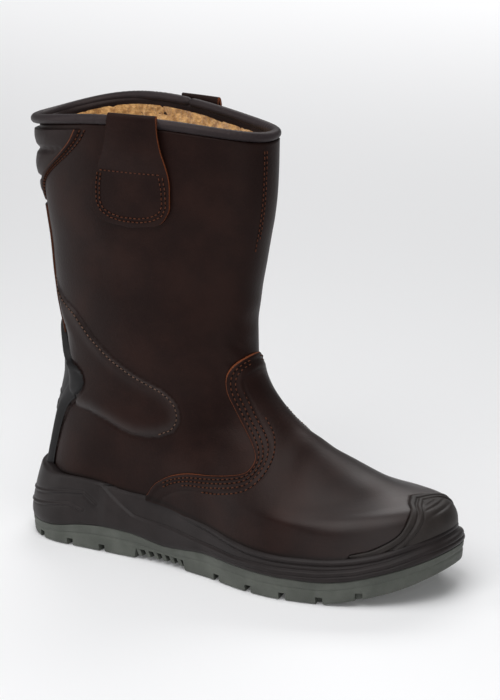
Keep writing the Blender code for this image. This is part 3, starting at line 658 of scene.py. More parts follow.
# Places along a stitch from its middle, with the lift and the radius there, in shares.
STITCH_FORM = ((-0.5, -0.7, 0.35), (-0.38, 0.1, 0.85), (-0.15, 0.4, 1), (0.15, 0.4, 1), (0.38, 0.1, 0.85),
               (0.5, -0.7, 0.35))


def thread_finish(name, color):
    """Matte waxed thread, with random darker spots painted as the shade in its twists."""
    material, tree, shader = start_material(name, 0.7, specular=0.08)
    tree.noise(1800.0).between(0.3, 0.7).tint(color, toned(color, 0.5)).feed(shader, "Base Color")
    return material


rust_thread = thread_finish("rust thread", (0.115, 0.04, 0.021))
tan_thread = thread_finish("tan thread", (0.17, 0.10, 0.07))
# Near-black beads sunk between the stitches: painted shade of the needle holes.
hole_shade = thread_finish("painted hole shade", (0.004, 0.002, 0.0015))


def run_along(line):
    """Distance along a line at each of its points."""
    return np.concatenate([[0], np.cumsum(np.linalg.norm(np.diff(line, axis=0), axis=1))])


def between_points(at, run, line):
    """Points at given distances along a line."""
    return np.stack([np.interp(at, run, line[:, k]) for k in range(line.shape[1])], -1)


def beads(count, pitch, shift, length, thickness, path, normal):
    """Points and faces of a row of short rounded beads on a path, one in each pitch."""
    along, lift, radius = np.array(STITCH_FORM).T
    sections = len(along)
    run = run_along(path)
    at = ((np.arange(count) + shift) * pitch)[:, None] + length * along
    centre = between_points(at, run, path)
    up = between_points(at, run, normal)
    up /= np.linalg.norm(up, axis=-1, keepdims=True)
    across = np.cross(centre[:, -1:] - centre[:, :1], up)
    across /= np.maximum(np.linalg.norm(across, axis=-1, keepdims=True), 1e-9)
    turn = full_turn(STITCH_SECTION)
    ring = across[:, :, None] * np.cos(turn)[:, None] + up[:, :, None] * np.sin(turn)[:, None]
    points = (centre + up * (lift * thickness)[:, None])[:, :, None] + ring * (radius * thickness)[:, None, None]
    block = sections * STITCH_SECTION
    quads = [list(quad + k * block) for k in range(count) for quad in grid_faces(sections, STITCH_SECTION, ring=True)]
    for k in range(count):
        quads.append([k * block + i for i in range(STITCH_SECTION - 1, -1, -1)])
        quads.append([(k + 1) * block - STITCH_SECTION + i for i in range(STITCH_SECTION)])
    return points.reshape(-1, 3), quads


def stitches(name, angle, level, height, thread=rust_thread, length=STITCH, gap=STITCH_GAP, thickness=0.42):
    """A row of stitches along angles and levels, at a height over the face, with a near-black bead between every two
    that paints the shade of the needle's hole."""
    path, normal = surface(angle, level, height), normal_at(angle, level)
    total = run_along(path)[-1]
    count = max(2, int(total / (length + gap)))
    pitch = total / count
    points, quads = beads(count, pitch, 0.5, length, thickness, path, normal)
    add_piece(name, points, quads, thread)
    points, quads = beads(count - 1, pitch, 1.0, gap * 0.85, thickness * 1.1, path - normal * 0.1, normal)
    add_piece(name.replace("stitches", "hole_shade_beads"), points, quads, hole_shade)


EVEN_POINTS = 240
SMOOTHINGS = 6


def inward_line(line, inset):
    """A side-view line moved to its right by an inset, evened out."""
    run = run_along(line)
    even = between_points(np.linspace(0, run[-1], EVEN_POINTS), run, line)
    for _ in range(SMOOTHINGS):
        even[1:-1] = (even[:-2] + 2 * even[1:-1] + even[2:]) / 4
    along = np.gradient(even, axis=0)
    along /= np.linalg.norm(along, axis=1, keepdims=True)
    return even + np.stack([along[:, 1], -along[:, 0]], -1) * inset


SIDES = ((False, "outer"), (True, "inner"))
vamp_side = edge_points[:VAMP_COLUMNS // 2][:, [0, 2]]
# Each row's distance from the edge, the x where it starts and the degrees where it stops.
VAMP_ROWS_OF_THREAD = ((2.3, 118, 174), (4.6, 118, 173), (7.2, 134, 171), (10.4, 150, 158))
LOWEST_STITCH = 40
for inner, side in SIDES:
    for row, (inset, start_x, stop_turn) in enumerate(VAMP_ROWS_OF_THREAD):
        line = inward_line(vamp_side, inset)
        line = line[(line[:, 0] > start_x) & (line[:, 1] > LOWEST_STITCH)]
        angle, level = side_spot(line[:, 0], line[:, 1], inner)
        keep = folded(np.degrees(angle)) < stop_turn
        stitches("vamp_stitches_%s_%d" % (side, row + 1), angle[keep], level[keep], VAMP_HEIGHT - 0.15)


def on_skin(angle, level):
    """Height of a stitch that lies on the upper's skin."""
    return skin_height(angle, level, face(angle, level)) + 0.1


# The pale thread follows the ankle pad's upper edge from the back of the shaft round its front end.
ankle_run = inward_line(side_line(ANKLE_SEAM[:15]), 1.8)
for inner, side in SIDES:
    angle, level = side_spot(ankle_run[:, 0], ankle_run[:, 1], inner)
    stitches("ankle_stitches_" + side, angle, level, on_skin(angle, level), tan_thread, 1.9, 1.3, 0.34)

# The two rows down the shin, each with its degrees and the height where it stops.
SHIN_ROWS = ((169.5, 206), (172.0, 214))
for row, (turn, lowest) in enumerate(SHIN_ROWS):
    angle = np.full(60, np.radians(turn))
    level = level_at(angle, np.linspace(272, lowest, 60))
    stitches("shin_stitches_%d" % (row + 1), angle, level, on_skin(angle, level), rust_thread, 2.0, 1.2, 0.34)

# The toe bumper: black-brown moulded polyurethane over the toe, with two ridges round its back edge
# and four fine grooves across its top.
BUMPER = {
    "gap": (0, 0.5, 1.4, 3.6, 4.8, 5.6, 6.6, 8.2, 9.2, 10.4, 16, 30, 60),
    "height": (2.2, 2.9, 3.4, 3.2, 2.3, 2.6, 3.3, 3.1, 2.3, 2.6, 2.9, 2.8, 2.4),
}
BUMPER_COLUMNS = 120
BUMPER_ROWS = 90
BUMPER_FOOT_REACH = 45
TOE_GROOVES = (284.5, 288.0, 291.5, 295.0)
TOE_MIDDLE = 6
PEEL_DEPTH = 0.05


def moulded(name, color, roughness, speckle):
    """Moulded rubber or polyurethane: an even colour with lighter clouds at random, a fine sparkle and a slight
    orange-peel surface."""
    material, tree, shader = start_material(name, roughness, coat=0.04, coat_roughness=0.45, specular=0.16)
    cloud = tree.noise(60.0, 4.0)
    tone = cloud.between(0.3, 0.75).tint(color, toned(color, 1.45))
    sparkle = tree.noise(2200.0, 1.0).between(0.62, 0.7) * speckle
    sparkle.tint(tone, toned(color, 2.5)).feed(shader, "Base Color")
    (cloud * 0.16 + (roughness - 0.08)).feed(shader, "Roughness")
    relief(tree, shader, tree.noise(700.0, 3.0) + tree.noise(2600.0, 1.0) * 0.4, PEEL_DEPTH)
    return material


bumper_rubber = moulded("bumper polyurethane", (0.022, 0.018, 0.0165), 0.5, 0.25)
half_edge = np.linspace(BUMPER_START, 180, BUMPER_COLUMNS)
edge_turn = np.concatenate([half_edge, 360 - half_edge[-2::-1]])
edge_level = smooth(BUMPER_EDGE, "level", folded(edge_turn), "turn")
across = np.linspace(0, 1, BUMPER_ROWS)[:, None] ** 1.15
foot_turn = 180 + (edge_turn - 180) * BUMPER_FOOT_REACH / (180 - BUMPER_START)
foot_level = rim_level(np.radians(foot_turn), -1.2)
bumper_angle = np.radians(edge_turn * (1 - across) + foot_turn * across)
bumper_levels = edge_level * (1 - across) + foot_level * across
bumper_base = face(bumper_angle, bumper_levels)
narrow = np.clip((folded(edge_turn) - BUMPER_START) / 9, 0, 1) ** 0.7
bumper_run = np.linalg.norm(np.diff(bumper_base, axis=0, prepend=bumper_base[:1]), axis=-1).cumsum(0)
bumper_high = smooth(BUMPER, "height", bumper_run / (0.4 + 0.6 * narrow), "gap")
clear_of_ridges = np.clip((bumper_run - 9.5) / 2.5, 0, 1)
from_middle = bumper_base[..., 1] - TOE_MIDDLE
for groove_x in TOE_GROOVES:
    groove_gap = bumper_base[..., 0] + 0.012 * from_middle ** 2 - groove_x
    bumper_high = bumper_high - 0.9 * dip_near(groove_gap, 0.7) * dip_near(from_middle, 13) * clear_of_ridges
bumper_high = 0.25 + bumper_high * (0.8 + 0.2 * narrow)
bumper_skin = surface(bumper_angle, bumper_levels, bumper_high)
bumper_under = surface(bumper_angle[0], bumper_levels[0], 0.2)[None]
add_piece("toe_bumper_skin", np.concatenate([bumper_under, bumper_skin]).reshape(-1, 3),
          grid_faces(BUMPER_ROWS + 1, len(edge_turn), ring=False), bumper_rubber, ("toe_bumper",))

# The midsole: dark polyurethane foamed on to the upper, with a bead along its rim in front, a
# raised heel panel that ends in a slanting edge, and two moulded lines at the heel.
PARTING = {
    "station": (0, 30, 60, 78, 94, 121, 155, 184, 211, 236, 254, 270, 285, 298, 307),
    "height": (10.7, 11.6, 16.4, 17.7, 17, 13, 16, 15.5, 14.8, 14.6, 16.3, 19.6, 23.8, 28.2, 31.8),
}
HEEL_LINES = (
    ((2, 29), (20, 32), (41, 36), (58, 38), (68, 32)),
    ((1, 20.5), (16, 23), (30, 26), (47, 29), (57.5, 26.5)),
)
SLANT = ((72, 45), (76, 42), (87, 35), (97, 29.5), (106, 28), (131, 26), (152, 23.4), (180, 21.5), (212, 21.2),
         (240, 22.0), (262, 25), (280, 29.6), (296, 35.5), (308, 39.5))
SOLE_COLUMNS = 700
SIDE_ROWS = 84
CUP_ROWS = ((1, 0.25), (0.85, 0.1), (0.6, 0.1))
sole_turn = full_turn(SOLE_COLUMNS)
flange = sole_outline(sole_turn)
rim = smooth(RIM, "height", flange[:, 0])
lean = smooth(RIM, "lean", flange[:, 0])
parting = smooth(PARTING, "height", flange[:, 0])
side_share = np.linspace(0, 1, SIDE_ROWS)[:, None]
side_z = parting + 0.3 + (rim - parting - 0.3) * side_share
side_x = np.broadcast_to(flange[:, 0], side_z.shape)
side_points = np.stack([side_x, side_z], -1)
front_share = np.clip((side_x - 118) / 40, 0, 1)
out = -0.9 + 1.5 * (1 - np.exp(-side_share * 14)) - 0.5 * side_share
from_rim = rim - side_z
toe_fade = np.clip((304 - side_x) / 30, 0, 1)
bead = dip_near(from_rim - 1.9, 1.4) * 0.9 * front_share * toe_fade
out = out + bead - 0.7 * dip_near(from_rim - 4.4, 0.8) * front_share
out = out - 1.4 * np.exp(-from_rim / 0.6)
for line in HEEL_LINES:
    gap = distance_to(side_points, np.array(line, float))
    out = out + 0.6 * dip_near(gap, 0.6) - 0.35 * dip_near(gap - 1.4, 0.7)
slant_line = np.array(SLANT, float)
slant_z = np.interp(side_x, slant_line[:, 0], slant_line[:, 1])
gap = distance_to(side_points, slant_line)
below = np.tanh((slant_z - side_z) / 0.9)
out = out + 0.75 * below * np.clip((side_x - 70) / 6, 0, 1) - 0.9 * dip_near(gap, 0.65) * (side_x > 70)
out = out - 0.55 * dip_near(side_z - slant_z + 3.6, 0.6) * np.clip((side_x - 150) / 20, 0, 1)
out = out - (lean + 2.4 * (1 - toe_fade)) * side_share ** 1.5 - 0.9 * (1 - toe_fade)
flange_side = np.stack([sole_outline(sole_turn, row) for row in out])
side_rings = np.concatenate([flange_side, side_z[..., None]], -1)


def sole_ring(out, height):
    """A ring of points round the sole, moved outwards from the flange, at a height."""
    return np.concatenate([sole_outline(sole_turn, out), np.broadcast_to(height, (SOLE_COLUMNS,))[:, None]], -1)


cup_top = rim_level(sole_turn)
cup = [surface(sole_turn, cup_top * cup_share, offset) for cup_share, offset in CUP_ROWS]
midsole_points = np.concatenate([[sole_ring(-5.8, parting - 1.2), sole_ring(-4.8, parting + 0.3)], side_rings, cup])
midsole_rubber = moulded("midsole polyurethane", (0.0165, 0.013, 0.0128), 0.47, 0.15)
add_piece("midsole_skin", midsole_points.reshape(-1, 3), grid_faces(len(midsole_points), SOLE_COLUMNS, ring=True),
          midsole_rubber, ("midsole",))

# The outsole: grey-green rubber with cleats, cut between the lugs, a raised arch with short ribs
# and one thin line moulded round its side.
TREAD = {"station": (0, 238, 250, 261, 277, 291, 298, 307), "height": (0, 0, 1.4, 3.6, 7.6, 12.4, 15.6, 20)}
tread = smooth(TREAD, "height", flange[:, 0])
plate = np.minimum(tread + 8.5, parting - 1.5)
span = parting - tread
LUG_FOOT = ((-12.0, 0), (-5.5, 0), (-2.6, 0), (-1.9, 0.4), (-1.6, 1.2))
outsole_rings = [sole_ring(out, tread + rise) for out, rise in LUG_FOOT]
for ring_share in np.linspace(0.12, 0.97, 26):
    line = 0.45 * dip_near((ring_share - 0.62) * span, 0.8)
    outsole_rings.append(sole_ring(-1.6 + 1.0 * ring_share - line, tread + span * ring_share))
outsole_rings += [sole_ring(-0.9, parting), sole_ring(-4.5, parting), sole_ring(-5.5, plate)]
ring_count = len(outsole_rings)
strips = []
for start in (0, (ring_count - 1) * SOLE_COLUMNS):
    for i in range(SOLE_COLUMNS // 2):
        strip = [start + i, start + i + 1, start + (SOLE_COLUMNS - i - 1) % SOLE_COLUMNS,
                 start + (SOLE_COLUMNS - i) % SOLE_COLUMNS]
        strips.append(list(dict.fromkeys(strip)))
outsole_rubber = moulded("grey-green rubber", (0.078, 0.083, 0.073), 0.62, 0.2)
outsole_quads = list(grid_faces(ring_count, SOLE_COLUMNS, ring=True)) + strips
outsole_skin = add_piece("outsole_skin", np.concatenate(outsole_rings), outsole_quads, outsole_rubber,
                         ("outsole",))
outsole_skin.data.shade_flat()
# Each notch of the edge: its station and how far it turns back, in degrees.
GROOVES = ((22, -10), (47, -6), (72, -3), (165, 4), (192, 7), (217, 10), (241, 13), (265, 17), (287, 22))
NOTCH_WIDTH, NOTCH_LENGTH, NOTCH_DEPTH = 4.6, 44, 9.6
FRONT_NOTCHES, FRONT_NOTCH_LENGTH = 240, 13
ARCH, ARCH_MIDDLE = (44, 150, 14), 117.5
CHANNELS = (((73, 3.2, 8), (51.5, 0, 0.05)), ((154, 3.2, 8.2), (223, 0.5, 0.02)))
SHARP_EDGE = 28
cuts = bmesh.new()


def cut_block(size, place, turn=0.0, top_in=0.0):
    """Adds a block to the cuts, turned about the upright, its top ends drawn in."""
    made = bmesh.ops.create_cube(cuts, size=1.0)["verts"]
    for vert in made:
        x = vert.co.x * (size[0] - (2 * top_in if vert.co.z > 0 else 0))
        y = vert.co.y * size[1]
        place_x = place[0] + x * np.cos(turn) - y * np.sin(turn)
        place_y = place[1] + x * np.sin(turn) + y * np.cos(turn)
        vert.co = world_place((place_x, place_y, place[2] + vert.co.z * size[2])).tolist()


cut_block(ARCH, (ARCH_MIDDLE, 0, 0), top_in=3)
for station, back in GROOVES:
    for side in (-1, 1):
        edge_y = float(smooth(FOOT, "middle", station) + side * smooth(FOOT, "sole_half", station))
        size = (NOTCH_WIDTH, NOTCH_LENGTH if station < FRONT_NOTCHES else FRONT_NOTCH_LENGTH, NOTCH_DEPTH)
        cut_block(size, (station, edge_y, float(smooth(TREAD, "height", station))), np.radians(-back * side))
for size, place in CHANNELS:
    cut_block(size, place)
cut_mesh = bpy.data.meshes.new("tread cuts")
cuts.to_mesh(cut_mesh)
cuts.free()
cutter = bpy.data.objects.new("tread cuts", cut_mesh)
bpy.context.scene.collection.objects.link(cutter)
groove = outsole_skin.modifiers.new("tread", "BOOLEAN")
groove.operation = "DIFFERENCE"
groove.object = cutter
groove.use_self = True
cut_result = bpy.data.meshes.new_from_object(outsole_skin.evaluated_get(bpy.context.evaluated_depsgraph_get()))
outsole_skin.modifiers.remove(groove)
outsole_skin.data = cut_result
bpy.data.objects.remove(cutter, do_unlink=True)
outsole_skin.data.shade_smooth()
outsole_skin.data.set_sharp_from_angle(angle=np.radians(SHARP_EDGE))

# The arch ribs: short slanting fins of the same rubber under the outer and inner edge of the waist,
# moulded in one with the outsole where its arch is raised.
RIB_WIDTH = 3.4
RIB_LOW = {"z": 2.6, "slide": 1.6, "wide": 0.75}
RIB_HIGH = {"z": 12.5, "slide": -3.2, "wide": 1.0}
rib_points, rib_quads = [], []
for inner in (-1, 1):
    for rib_x in np.linspace(100.5, 133, 6):
        edge = sole_outline(np.array(np.arccos(1 - 2 * rib_x / SOLE_LENGTH)))
        middle = smooth(FOOT, "middle", rib_x)
        reach = (edge[1] - middle) * -inner
        s = len(rib_points)
        for end in (RIB_HIGH, RIB_LOW):
            for y_share, back in ((1.0, 1.6), (0.66, 0.0)):
                y = middle + reach * y_share - np.sign(reach) * back
                for dx in (-0.5, 0.5):
                    rib_points.append((rib_x + end["slide"] + dx * RIB_WIDTH * end["wide"], y, end["z"]))
        rib_quads += [[s, s + 1, s + 3, s + 2], [s + 4, s + 5, s + 7, s + 6], [s, s + 1, s + 5, s + 4],
                      [s + 2, s + 3, s + 7, s + 6], [s, s + 2, s + 6, s + 4], [s + 1, s + 3, s + 7, s + 5]]
ribs = add_piece("arch_ribs", np.array(rib_points), rib_quads, outsole_rubber)
ribs.data.shade_flat()

# The heel guard: a black moulded stem up the back of the heel with a lobe on each side of the
# ankle, a rolled rim, a sunk middle and low bars across it.
GUARD_RIM = 3.2
BAR_PITCH = 1.9
BAR_REACH = (62, 97)


def trace(points, count):
    """A smooth line of count points through a few spots, spaced by their real distance."""
    run = run_along(face(*points.T))
    line = {"run": run, "angle": points[:, 0], "level": points[:, 1]}
    at = np.linspace(0, run[-1], count)
    return np.stack([smooth(line, "angle", at, "run"), smooth(line, "level", at, "run")], -1)


def overlay(name, edge, opposite, across, height, material, replaced, marks=None):
    """A skin laid on the upper between two edges, with its four borders turned down."""
    share = np.linspace(0, 1, across)[None, :]
    angle = edge[:, 0:1] * (1 - share) + opposite[:, 0:1] * share
    level = edge[:, 1:2] * (1 - share) + opposite[:, 1:2] * share
    along = np.linspace(0, 1, len(edge))[:, None]
    framed = np.pad(surface(angle, level, 0.1), ((1, 1), (1, 1), (0, 0)), mode="edge")
    framed[1:-1, 1:-1] = surface(angle, level, height(face(angle, level), level, along, share))
    marks = {mark: np.pad(np.broadcast_to(rule(along), angle.shape), 1, mode="edge")
             for mark, rule in (marks or {}).items()}
    return add_piece(name, framed.reshape(-1, 3), grid_faces(*framed.shape[:2], ring=False), material,
                     replaced, marks)


def guard_height(points, level, along, share):
    """Height over the face: a rolled rim, a sunk middle and bars, over the swell of the ankle pads."""
    border = np.minimum(share, 1 - share) * 2
    rim_roll = GUARD_RIM * (1 - np.exp(-border * 16)) + 0.9 * dip_near(border - 0.14, 0.07)
    sunk = 0.9 * np.clip((border - 0.24) / 0.08, 0, 1)
    bars = 0.45 * (np.sin(points[..., 2] / BAR_PITCH) > 0.1) * np.clip((border - 0.34) / 0.05, 0, 1)
    bars = bars * (points[..., 2] < BAR_REACH[1]) * (points[..., 2] > BAR_REACH[0])
    angle = np.broadcast_to(guard_edge[:, :1] * (1 - 2 * share), level.shape)
    return rim_roll - sunk + bars + np.clip(skin_height(np.abs(angle), level, points), 0, None)


guard_edge = trace(spots(GUARD_EDGE), 130)
guard_far = guard_edge * [-1, 1]
black_moulding = moulded("black moulding", (0.0125, 0.012, 0.0125), 0.52, 0.1)
overlay("heel_guard_skin", guard_edge, guard_far, 100, guard_height, black_moulding, ("heel_guard",))

# The back stay: a strip of the same leather over the back seam, from the heel guard up to the collar
# pad, pressed in along both of its sides.
STAY_FOOT = ((21.5, 137), (11, 144.6), (0, 148.5))
STAY_TOP = 222.0
stay_foot = trace(spots(STAY_FOOT), 24)
stay_foot = np.concatenate([stay_foot, (stay_foot * [-1, 1])[-2::-1]])
stay_top = np.stack([stay_foot[:, 0], level_at(stay_foot[:, 0], STAY_TOP)], -1)


def from_side(along):
    """Share of the strip's width from its nearer side."""
    return np.minimum(along, 1 - along)


def stay_height(points, level, along, share):
    """Height over the face: a flat strip with round sides, which takes the creases of the shaft."""
    return 1.1 + creases_at(np.zeros(level.shape), points) + 0.5 * (1 - np.exp(-from_side(along) * 30))


# The stay's sides have rust raw edges, and painted shade where they are pressed in just inside them.
overlay("back_stay_skin", stay_foot, stay_top, 110, stay_height, brown_leather, ("back_stay",),
        {"raw": lambda along: np.clip(0.42 - from_side(along) * 90, 0, 1),
         "painted_shade": lambda along: dip_near(from_side(along) - 0.09, 0.03)})

# The collar pad: soft leather over foam, three rolls round the back of the collar with a pressed
# channel between them. The quarter's cut edge lies over its sides.
PAD_EDGE = ((12, 224), (17, 229), (24.6, 238), (31, 243.5), (41, 251), (51.5, 259.7), (58, 266.7), (62, 272.2),
            (65.5, 279.5))
ROLLS = {
    "level": (20.8, 21, 21.35, 21.7, 21.9, 22.1, 22.5, 22.9, 23.1, 23.3, 23.6, 23.9, 24),
    "height": (0.6, 2.2, 3.0, 2.4, 0.6, 2.6, 3.6, 2.6, 0.6, 2.6, 3.4, 2.8, 2.2),
}
GATHERS = 46
# The quarter's cut edge over the pad: its thickness over the strip's width, and how raw it is.
TRIM = {
    "height": (0.2, 1.5, 1.9, 2.0, 1.9, 1.6, 1.1, 0.5, 0.05),
    "raw": (1, 1, 0.9, 0.2, 0, 0, 0, 0, 0),
}
TRIM_ROWS = len(TRIM["height"])
pad_edge = trace(spots(PAD_EDGE), 110)


def pad_height(points, level, along, share):
    """Height over the face: the rolls, drawn in at the pad's sides, with fine gathers in the channels."""
    roll = smooth(ROLLS, "height", level, "level")
    ends = np.clip(0.12 + 6 * np.minimum(share, 1 - share), 0, 1)
    angle = np.arctan2(points[..., 1], 90 - points[..., 0])
    gathers = 0.16 * np.sin(angle * GATHERS + 3 * np.sin(angle * 9)) * np.clip(2.2 - roll, 0, 1)
    return 0.5 + roll * ends ** 0.7 + gathers


pad_leather = leather("soft collar leather", (0.0125, 0.0085, 0.0085), (0.024, 0.017, 0.0165))
collar_pad = overlay("collar_pad_skin", pad_edge * [-1, 1], pad_edge, 190, pad_height, pad_leather,
                     ("collar_pad",))
for sign, side in ((1, "outer"), (-1, "inner")):
    trim_angle = pad_edge[:, 0] * sign + sign * np.linspace(-0.012, 0.05, TRIM_ROWS)[:, None]
    trim_level = np.broadcast_to(pad_edge[:, 1], trim_angle.shape)
    trim_height, trim_raw = (np.broadcast_to(np.array(TRIM[key])[:, None], trim_angle.shape)
                             for key in ("height", "raw"))
    add_piece("quarter_edge_" + side, surface(trim_angle, trim_level, trim_height).reshape(-1, 3),
              grid_faces(*trim_angle.shape, ring=False), brown_leather, (), {"raw": trim_raw})
    for row, shift in enumerate((0.055, 0.10)):
        row_angle = (pad_edge[:, 0] + shift) % (2 * HALF_TURN) * sign
        stitches("quarter_stitches_%s_%d" % (side, row + 1), row_angle, pad_edge[:, 1], 0.55 - 0.2 * row,
                 rust_thread, 1.9, 1.2, 0.36)

# The lining: yellow-tan shearling glued inside the shaft and foot, its curls standing in tufts, with
# a smooth dark facing above it at the collar.
FLEECE_TOP = 23.72
FLEECE_FOOT = 2.6
FLEECE_COLUMNS, FLEECE_ROWS, FACING_COLUMNS = 420, 190, 260
# The curls' lumps in two sizes: height, size in millimetres and the number of waves in them.
BIG_CURLS, SMALL_CURLS = (0.85, 7.5, 9), (0.45, 3.6, 9)
FACING = {
    "level": (*np.linspace(23.1, TOP_LEVEL, 10), TOP_LEVEL, TOP_LEVEL),
    "inset": (*np.linspace(-2.4, -3.1, 10), -3.0, -1.0),
}
fleece_angle, fleece_level = np.meshgrid(full_turn(FLEECE_COLUMNS), np.linspace(FLEECE_FOOT, FLEECE_TOP, FLEECE_ROWS))
curl = np.random.default_rng(7)


def curls(points, height, size, waves):
    """Soft lumps from sums of waves in random directions over the lining."""
    total = np.zeros(points.shape[:-1])
    for _ in range(waves):
        way = curl.normal(size=3)
        way /= np.linalg.norm(way)
        total += np.sin(points @ way * 2 * HALF_TURN / size + curl.uniform(0, 2 * HALF_TURN))
    return height * total / np.sqrt(waves)


fleece_base = face(fleece_angle, fleece_level)
pile = 1.9 + curls(fleece_base, *BIG_CURLS) + curls(fleece_base, *SMALL_CURLS)
top_fade = np.clip((FLEECE_TOP - fleece_level) / 0.5, 0, 1) ** 0.5
fleece_in = -(2.5 + np.clip(pile, 0, 3.4) * (0.35 + 0.65 * top_fade))
fleece_points = surface(fleece_angle, fleece_level, fleece_in)
near_top = np.clip((fleece_level - 22) / 1.5, 0, 1)
fleece_points[..., 2] += 2.8 * np.clip(0.55 + 0.45 * np.cos(fleece_angle), 0.4, 1) * near_top
fleece_points[-6:, :, 2] += np.linspace(0.1, 1.0, 6)[:, None] * (0.3 + 0.5 * np.clip(pile[-6:], 0, 2))
fleece, tree, shader = start_material("shearling", 0.95, sheen=0.5)
tree.noise(260.0, 4.0).between(0.3, 0.7).tint((0.36, 0.165, 0.042), (0.8, 0.46, 0.17)).feed(shader, "Base Color")
relief(tree, shader, tree.noise(1100.0, 4.0, 0.7) + tree.cells(500.0) * 0.6, 0.9)
add_piece("shearling_lining", fleece_points.reshape(-1, 3), grid_faces(*fleece_angle.shape, ring=True), fleece)
facing_angle, facing_level = np.meshgrid(full_turn(FACING_COLUMNS), FACING["level"])
facing_points = surface(facing_angle, facing_level, np.array(FACING["inset"])[:, None])
facing_points[-2:, :, 2] += np.array([1.6, 3.2])[:, None]
add_piece("collar_facing", facing_points.reshape(-1, 3), grid_faces(*facing_angle.shape, ring=True), pad_leather)
footbed = bpy.data.objects.get("insole")
footbed.data.materials.clear()
footbed.data.materials.append(fleece)

# The collar binding: a soft grey-brown leather tape rolled over the top edge and drawn tight under
# the roll, with its ends butted together on the inner side.
BINDING_COLUMNS = 400
BINDING_SECTION = 26
BINDING_RADIUS = 3.25
BINDING_RISE = 3.2
CRIMPS = 140
BUTT = np.radians(271)
BUTT_NOTCH = 1.2
binding_turn = full_turn(BINDING_COLUMNS)
to_back = np.minimum(binding_turn, 2 * HALF_TURN - binding_turn)
over_pad = 4.2 * np.clip(1 - to_back / 1.2, 0, 1) ** 0.6
binding_line = surface(binding_turn, TOP_LEVEL, over_pad - 1.1)
binding_line[:, 2] = face(binding_turn, TOP_LEVEL)[:, 2] + BINDING_RISE
outward = normal_at(binding_turn, TOP_LEVEL)
outward[:, 2] = 0
outward /= np.linalg.norm(outward, axis=1, keepdims=True)
section = full_turn(BINDING_SECTION)[:, None]
crimp = 0.10 * np.sin(binding_turn * CRIMPS + 4 * np.sin(binding_turn * 11))
crimp = crimp * (0.5 + 0.5 * np.sin(binding_turn * 5 + 1))
at_butt = dip_near((binding_turn - BUTT) * 60, 0.8)
tube = (BINDING_RADIUS + crimp - BUTT_NOTCH * at_butt) * (1 - 0.10 * dip_near(section - 4.4, 0.25))
binding_points = (binding_line + outward * (tube * 1.04 * np.cos(section))[..., None]
                  + np.array([0, 0, 1.0]) * (tube * 0.97 * np.sin(section))[..., None])
tape = leather("binding tape", (0.022, 0.0175, 0.0185), (0.036, 0.029, 0.031))
tape_quads = grid_faces(BINDING_SECTION + 1, BINDING_COLUMNS, ring=True) % (BINDING_SECTION * BINDING_COLUMNS)
# Where the ends butt together the tape is notched and darkened: painted shade in the notch.
add_piece("binding_roll", binding_points.reshape(-1, 3), tape_quads, tape, ("collar_binding",),
          {"painted_shade": np.broadcast_to(at_butt, tube.shape)})

# The pull loops: a strap of two layers of leather on each side, from a stitched patch over the
# binding and down inside, with rust-coloured cut edges. The patch is plain leather.
LOOP = {
    "near_z": (221.4, 223.6, 228.5, 236, 247, 255, 262, 272, 282, 288, 290.6, 291, 290.6, 288, 280, 268),
    "near_out": (0.5, 0.5, 0.5, 0.5, 0.5, 0.6, 1.4, 3.2, 4.2, 4.4, 4.3, 4.1, 3.9, 3.8, 3.7, 2.0),
    "far_z": (220.9, 223.6, 228.5, 236, 247, 255, 262, 272, 282, 289, 292.8, 293.6, 292.8, 288, 280, 268),
    "far_out": (2.4, 3.0, 3.3, 3.3, 3.3, 3.2, 4.0, 5.6, 6.3, 6.4, 5.6, 4.1, 2.8, 2.5, 2.5, 0.6),
    "middle": (98.3, 98.3, 98.3, 98.6, 99.2, 100.8, 101.3, 102.3, 102.7, 102.8, 102.8, 102.8, 102.8, 102.8, 102.8,
               102.8),
    "half": (2, 18.5, 24, 26.8, 26.5, 24.2, 22.2, 18.8, 16.9, 16.4, 16, 16, 16, 16, 16, 16),
}
LOOP_ROWS = 150
LOOP_COLUMNS = 46
# The patch's stitched outline, from its upper corners down, and the row across its top.
PATCH = ((255.5, 22.2), (247, 23.6), (236, 23.8), (230, 20.8), (226.6, 14), (225, 6))
PATCH_TOP = 256.5
INNER_SHIFT, INNER_DROP, INNER_SHARE = 6.0, 2.6, 0.9


def beside(x, height, out, inner):
    """Points of a strap that hangs beside the shaft, seen from the side at x and height."""
    place = surface(*side_spot(x, height, inner), out)
    place[..., 2] = height
    return place


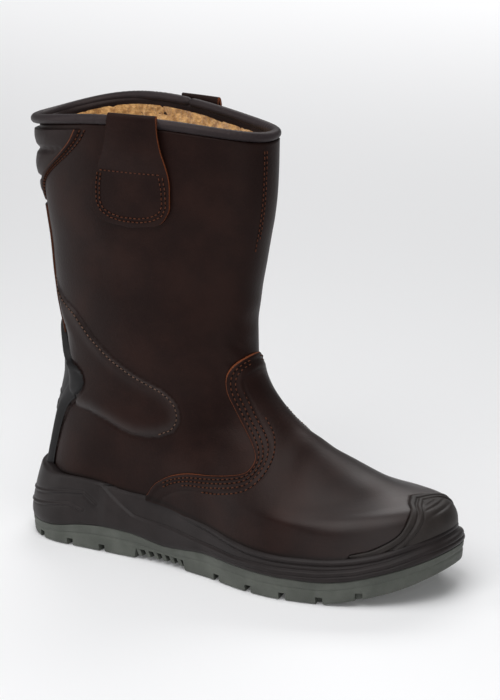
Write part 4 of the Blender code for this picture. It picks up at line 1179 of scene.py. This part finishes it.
bend = np.linspace(0, len(LOOP["middle"]) - 1, LOOP_ROWS)
column = np.sin(np.linspace(-HALF_TURN / 2, HALF_TURN / 2, LOOP_COLUMNS))
for inner, side in SIDES:
    middle = smooth(LOOP, "middle", bend, None) - (INNER_SHIFT if inner else 0.0)
    narrower = INNER_SHARE if inner else 1.0
    x = middle[:, None] + smooth(LOOP, "half", bend, None)[:, None] * narrower * column
    layers = []
    for z_name, out_name in (("far_z", "far_out"), ("near_z", "near_out")):
        z = smooth(LOOP, z_name, bend, None)
        z = z - (INNER_DROP * np.clip((z - 262) / 20, 0, 1) if inner else 0)
        z, off = (np.broadcast_to(value[:, None], x.shape) for value in (z, smooth(LOOP, out_name, bend, None)))
        layers.append(beside(x, z, off, inner))
    puff = 0.5 * np.exp(-((bend[:, None] - 6.6) / 1.4) ** 2) * (1 - column ** 2)
    layers[0] = layers[0] + (layers[0] - layers[1]) * puff[..., None]
    fold = (layers[0] + layers[1]) / 2
    loop_sheet = np.concatenate([layers[0], fold[:, -1:], layers[1][:, ::-1], fold[:, :1]], axis=1)
    wide = loop_sheet.shape[1]
    caps = [[r * wide + c for c in range(wide)] for r in (0, LOOP_ROWS - 1)]
    raw = np.zeros((LOOP_ROWS, wide))
    raw[:, [LOOP_COLUMNS, wide - 1]] = 1.0
    raw[:, [LOOP_COLUMNS - 1, 0]] = 0.55
    add_piece("pull_loop_" + side + "_strap", loop_sheet.reshape(-1, 3),
              list(grid_faces(LOOP_ROWS, wide, ring=True)) + caps, brown_leather,
              ("pull_loop_medial" if inner else "pull_loop_lateral",), {"raw": raw})
    patch_middle = middle[0] + 1.2
    right = np.array([(patch_middle + half * narrower, z) for z, half in PATCH])
    outline = np.concatenate([right * [-1, 1] + [2 * patch_middle, 0], right[::-1]])
    bar = np.stack([np.linspace(middle[0] - 20, middle[0] + 22, 60), np.full(60, PATCH_TOP)], -1)
    sewn = ((inward_line(outline, 0.0), 3.45), (inward_line(outline, -2.4), 3.45), (bar, 3.5))
    for row, (line, height) in enumerate(sewn):
        stitches("loop_stitches_%s_%d" % (side, row + 1), *side_spot(line[:, 0], line[:, 1], inner), height,
                 rust_thread, 1.9, 1.1, 0.36)
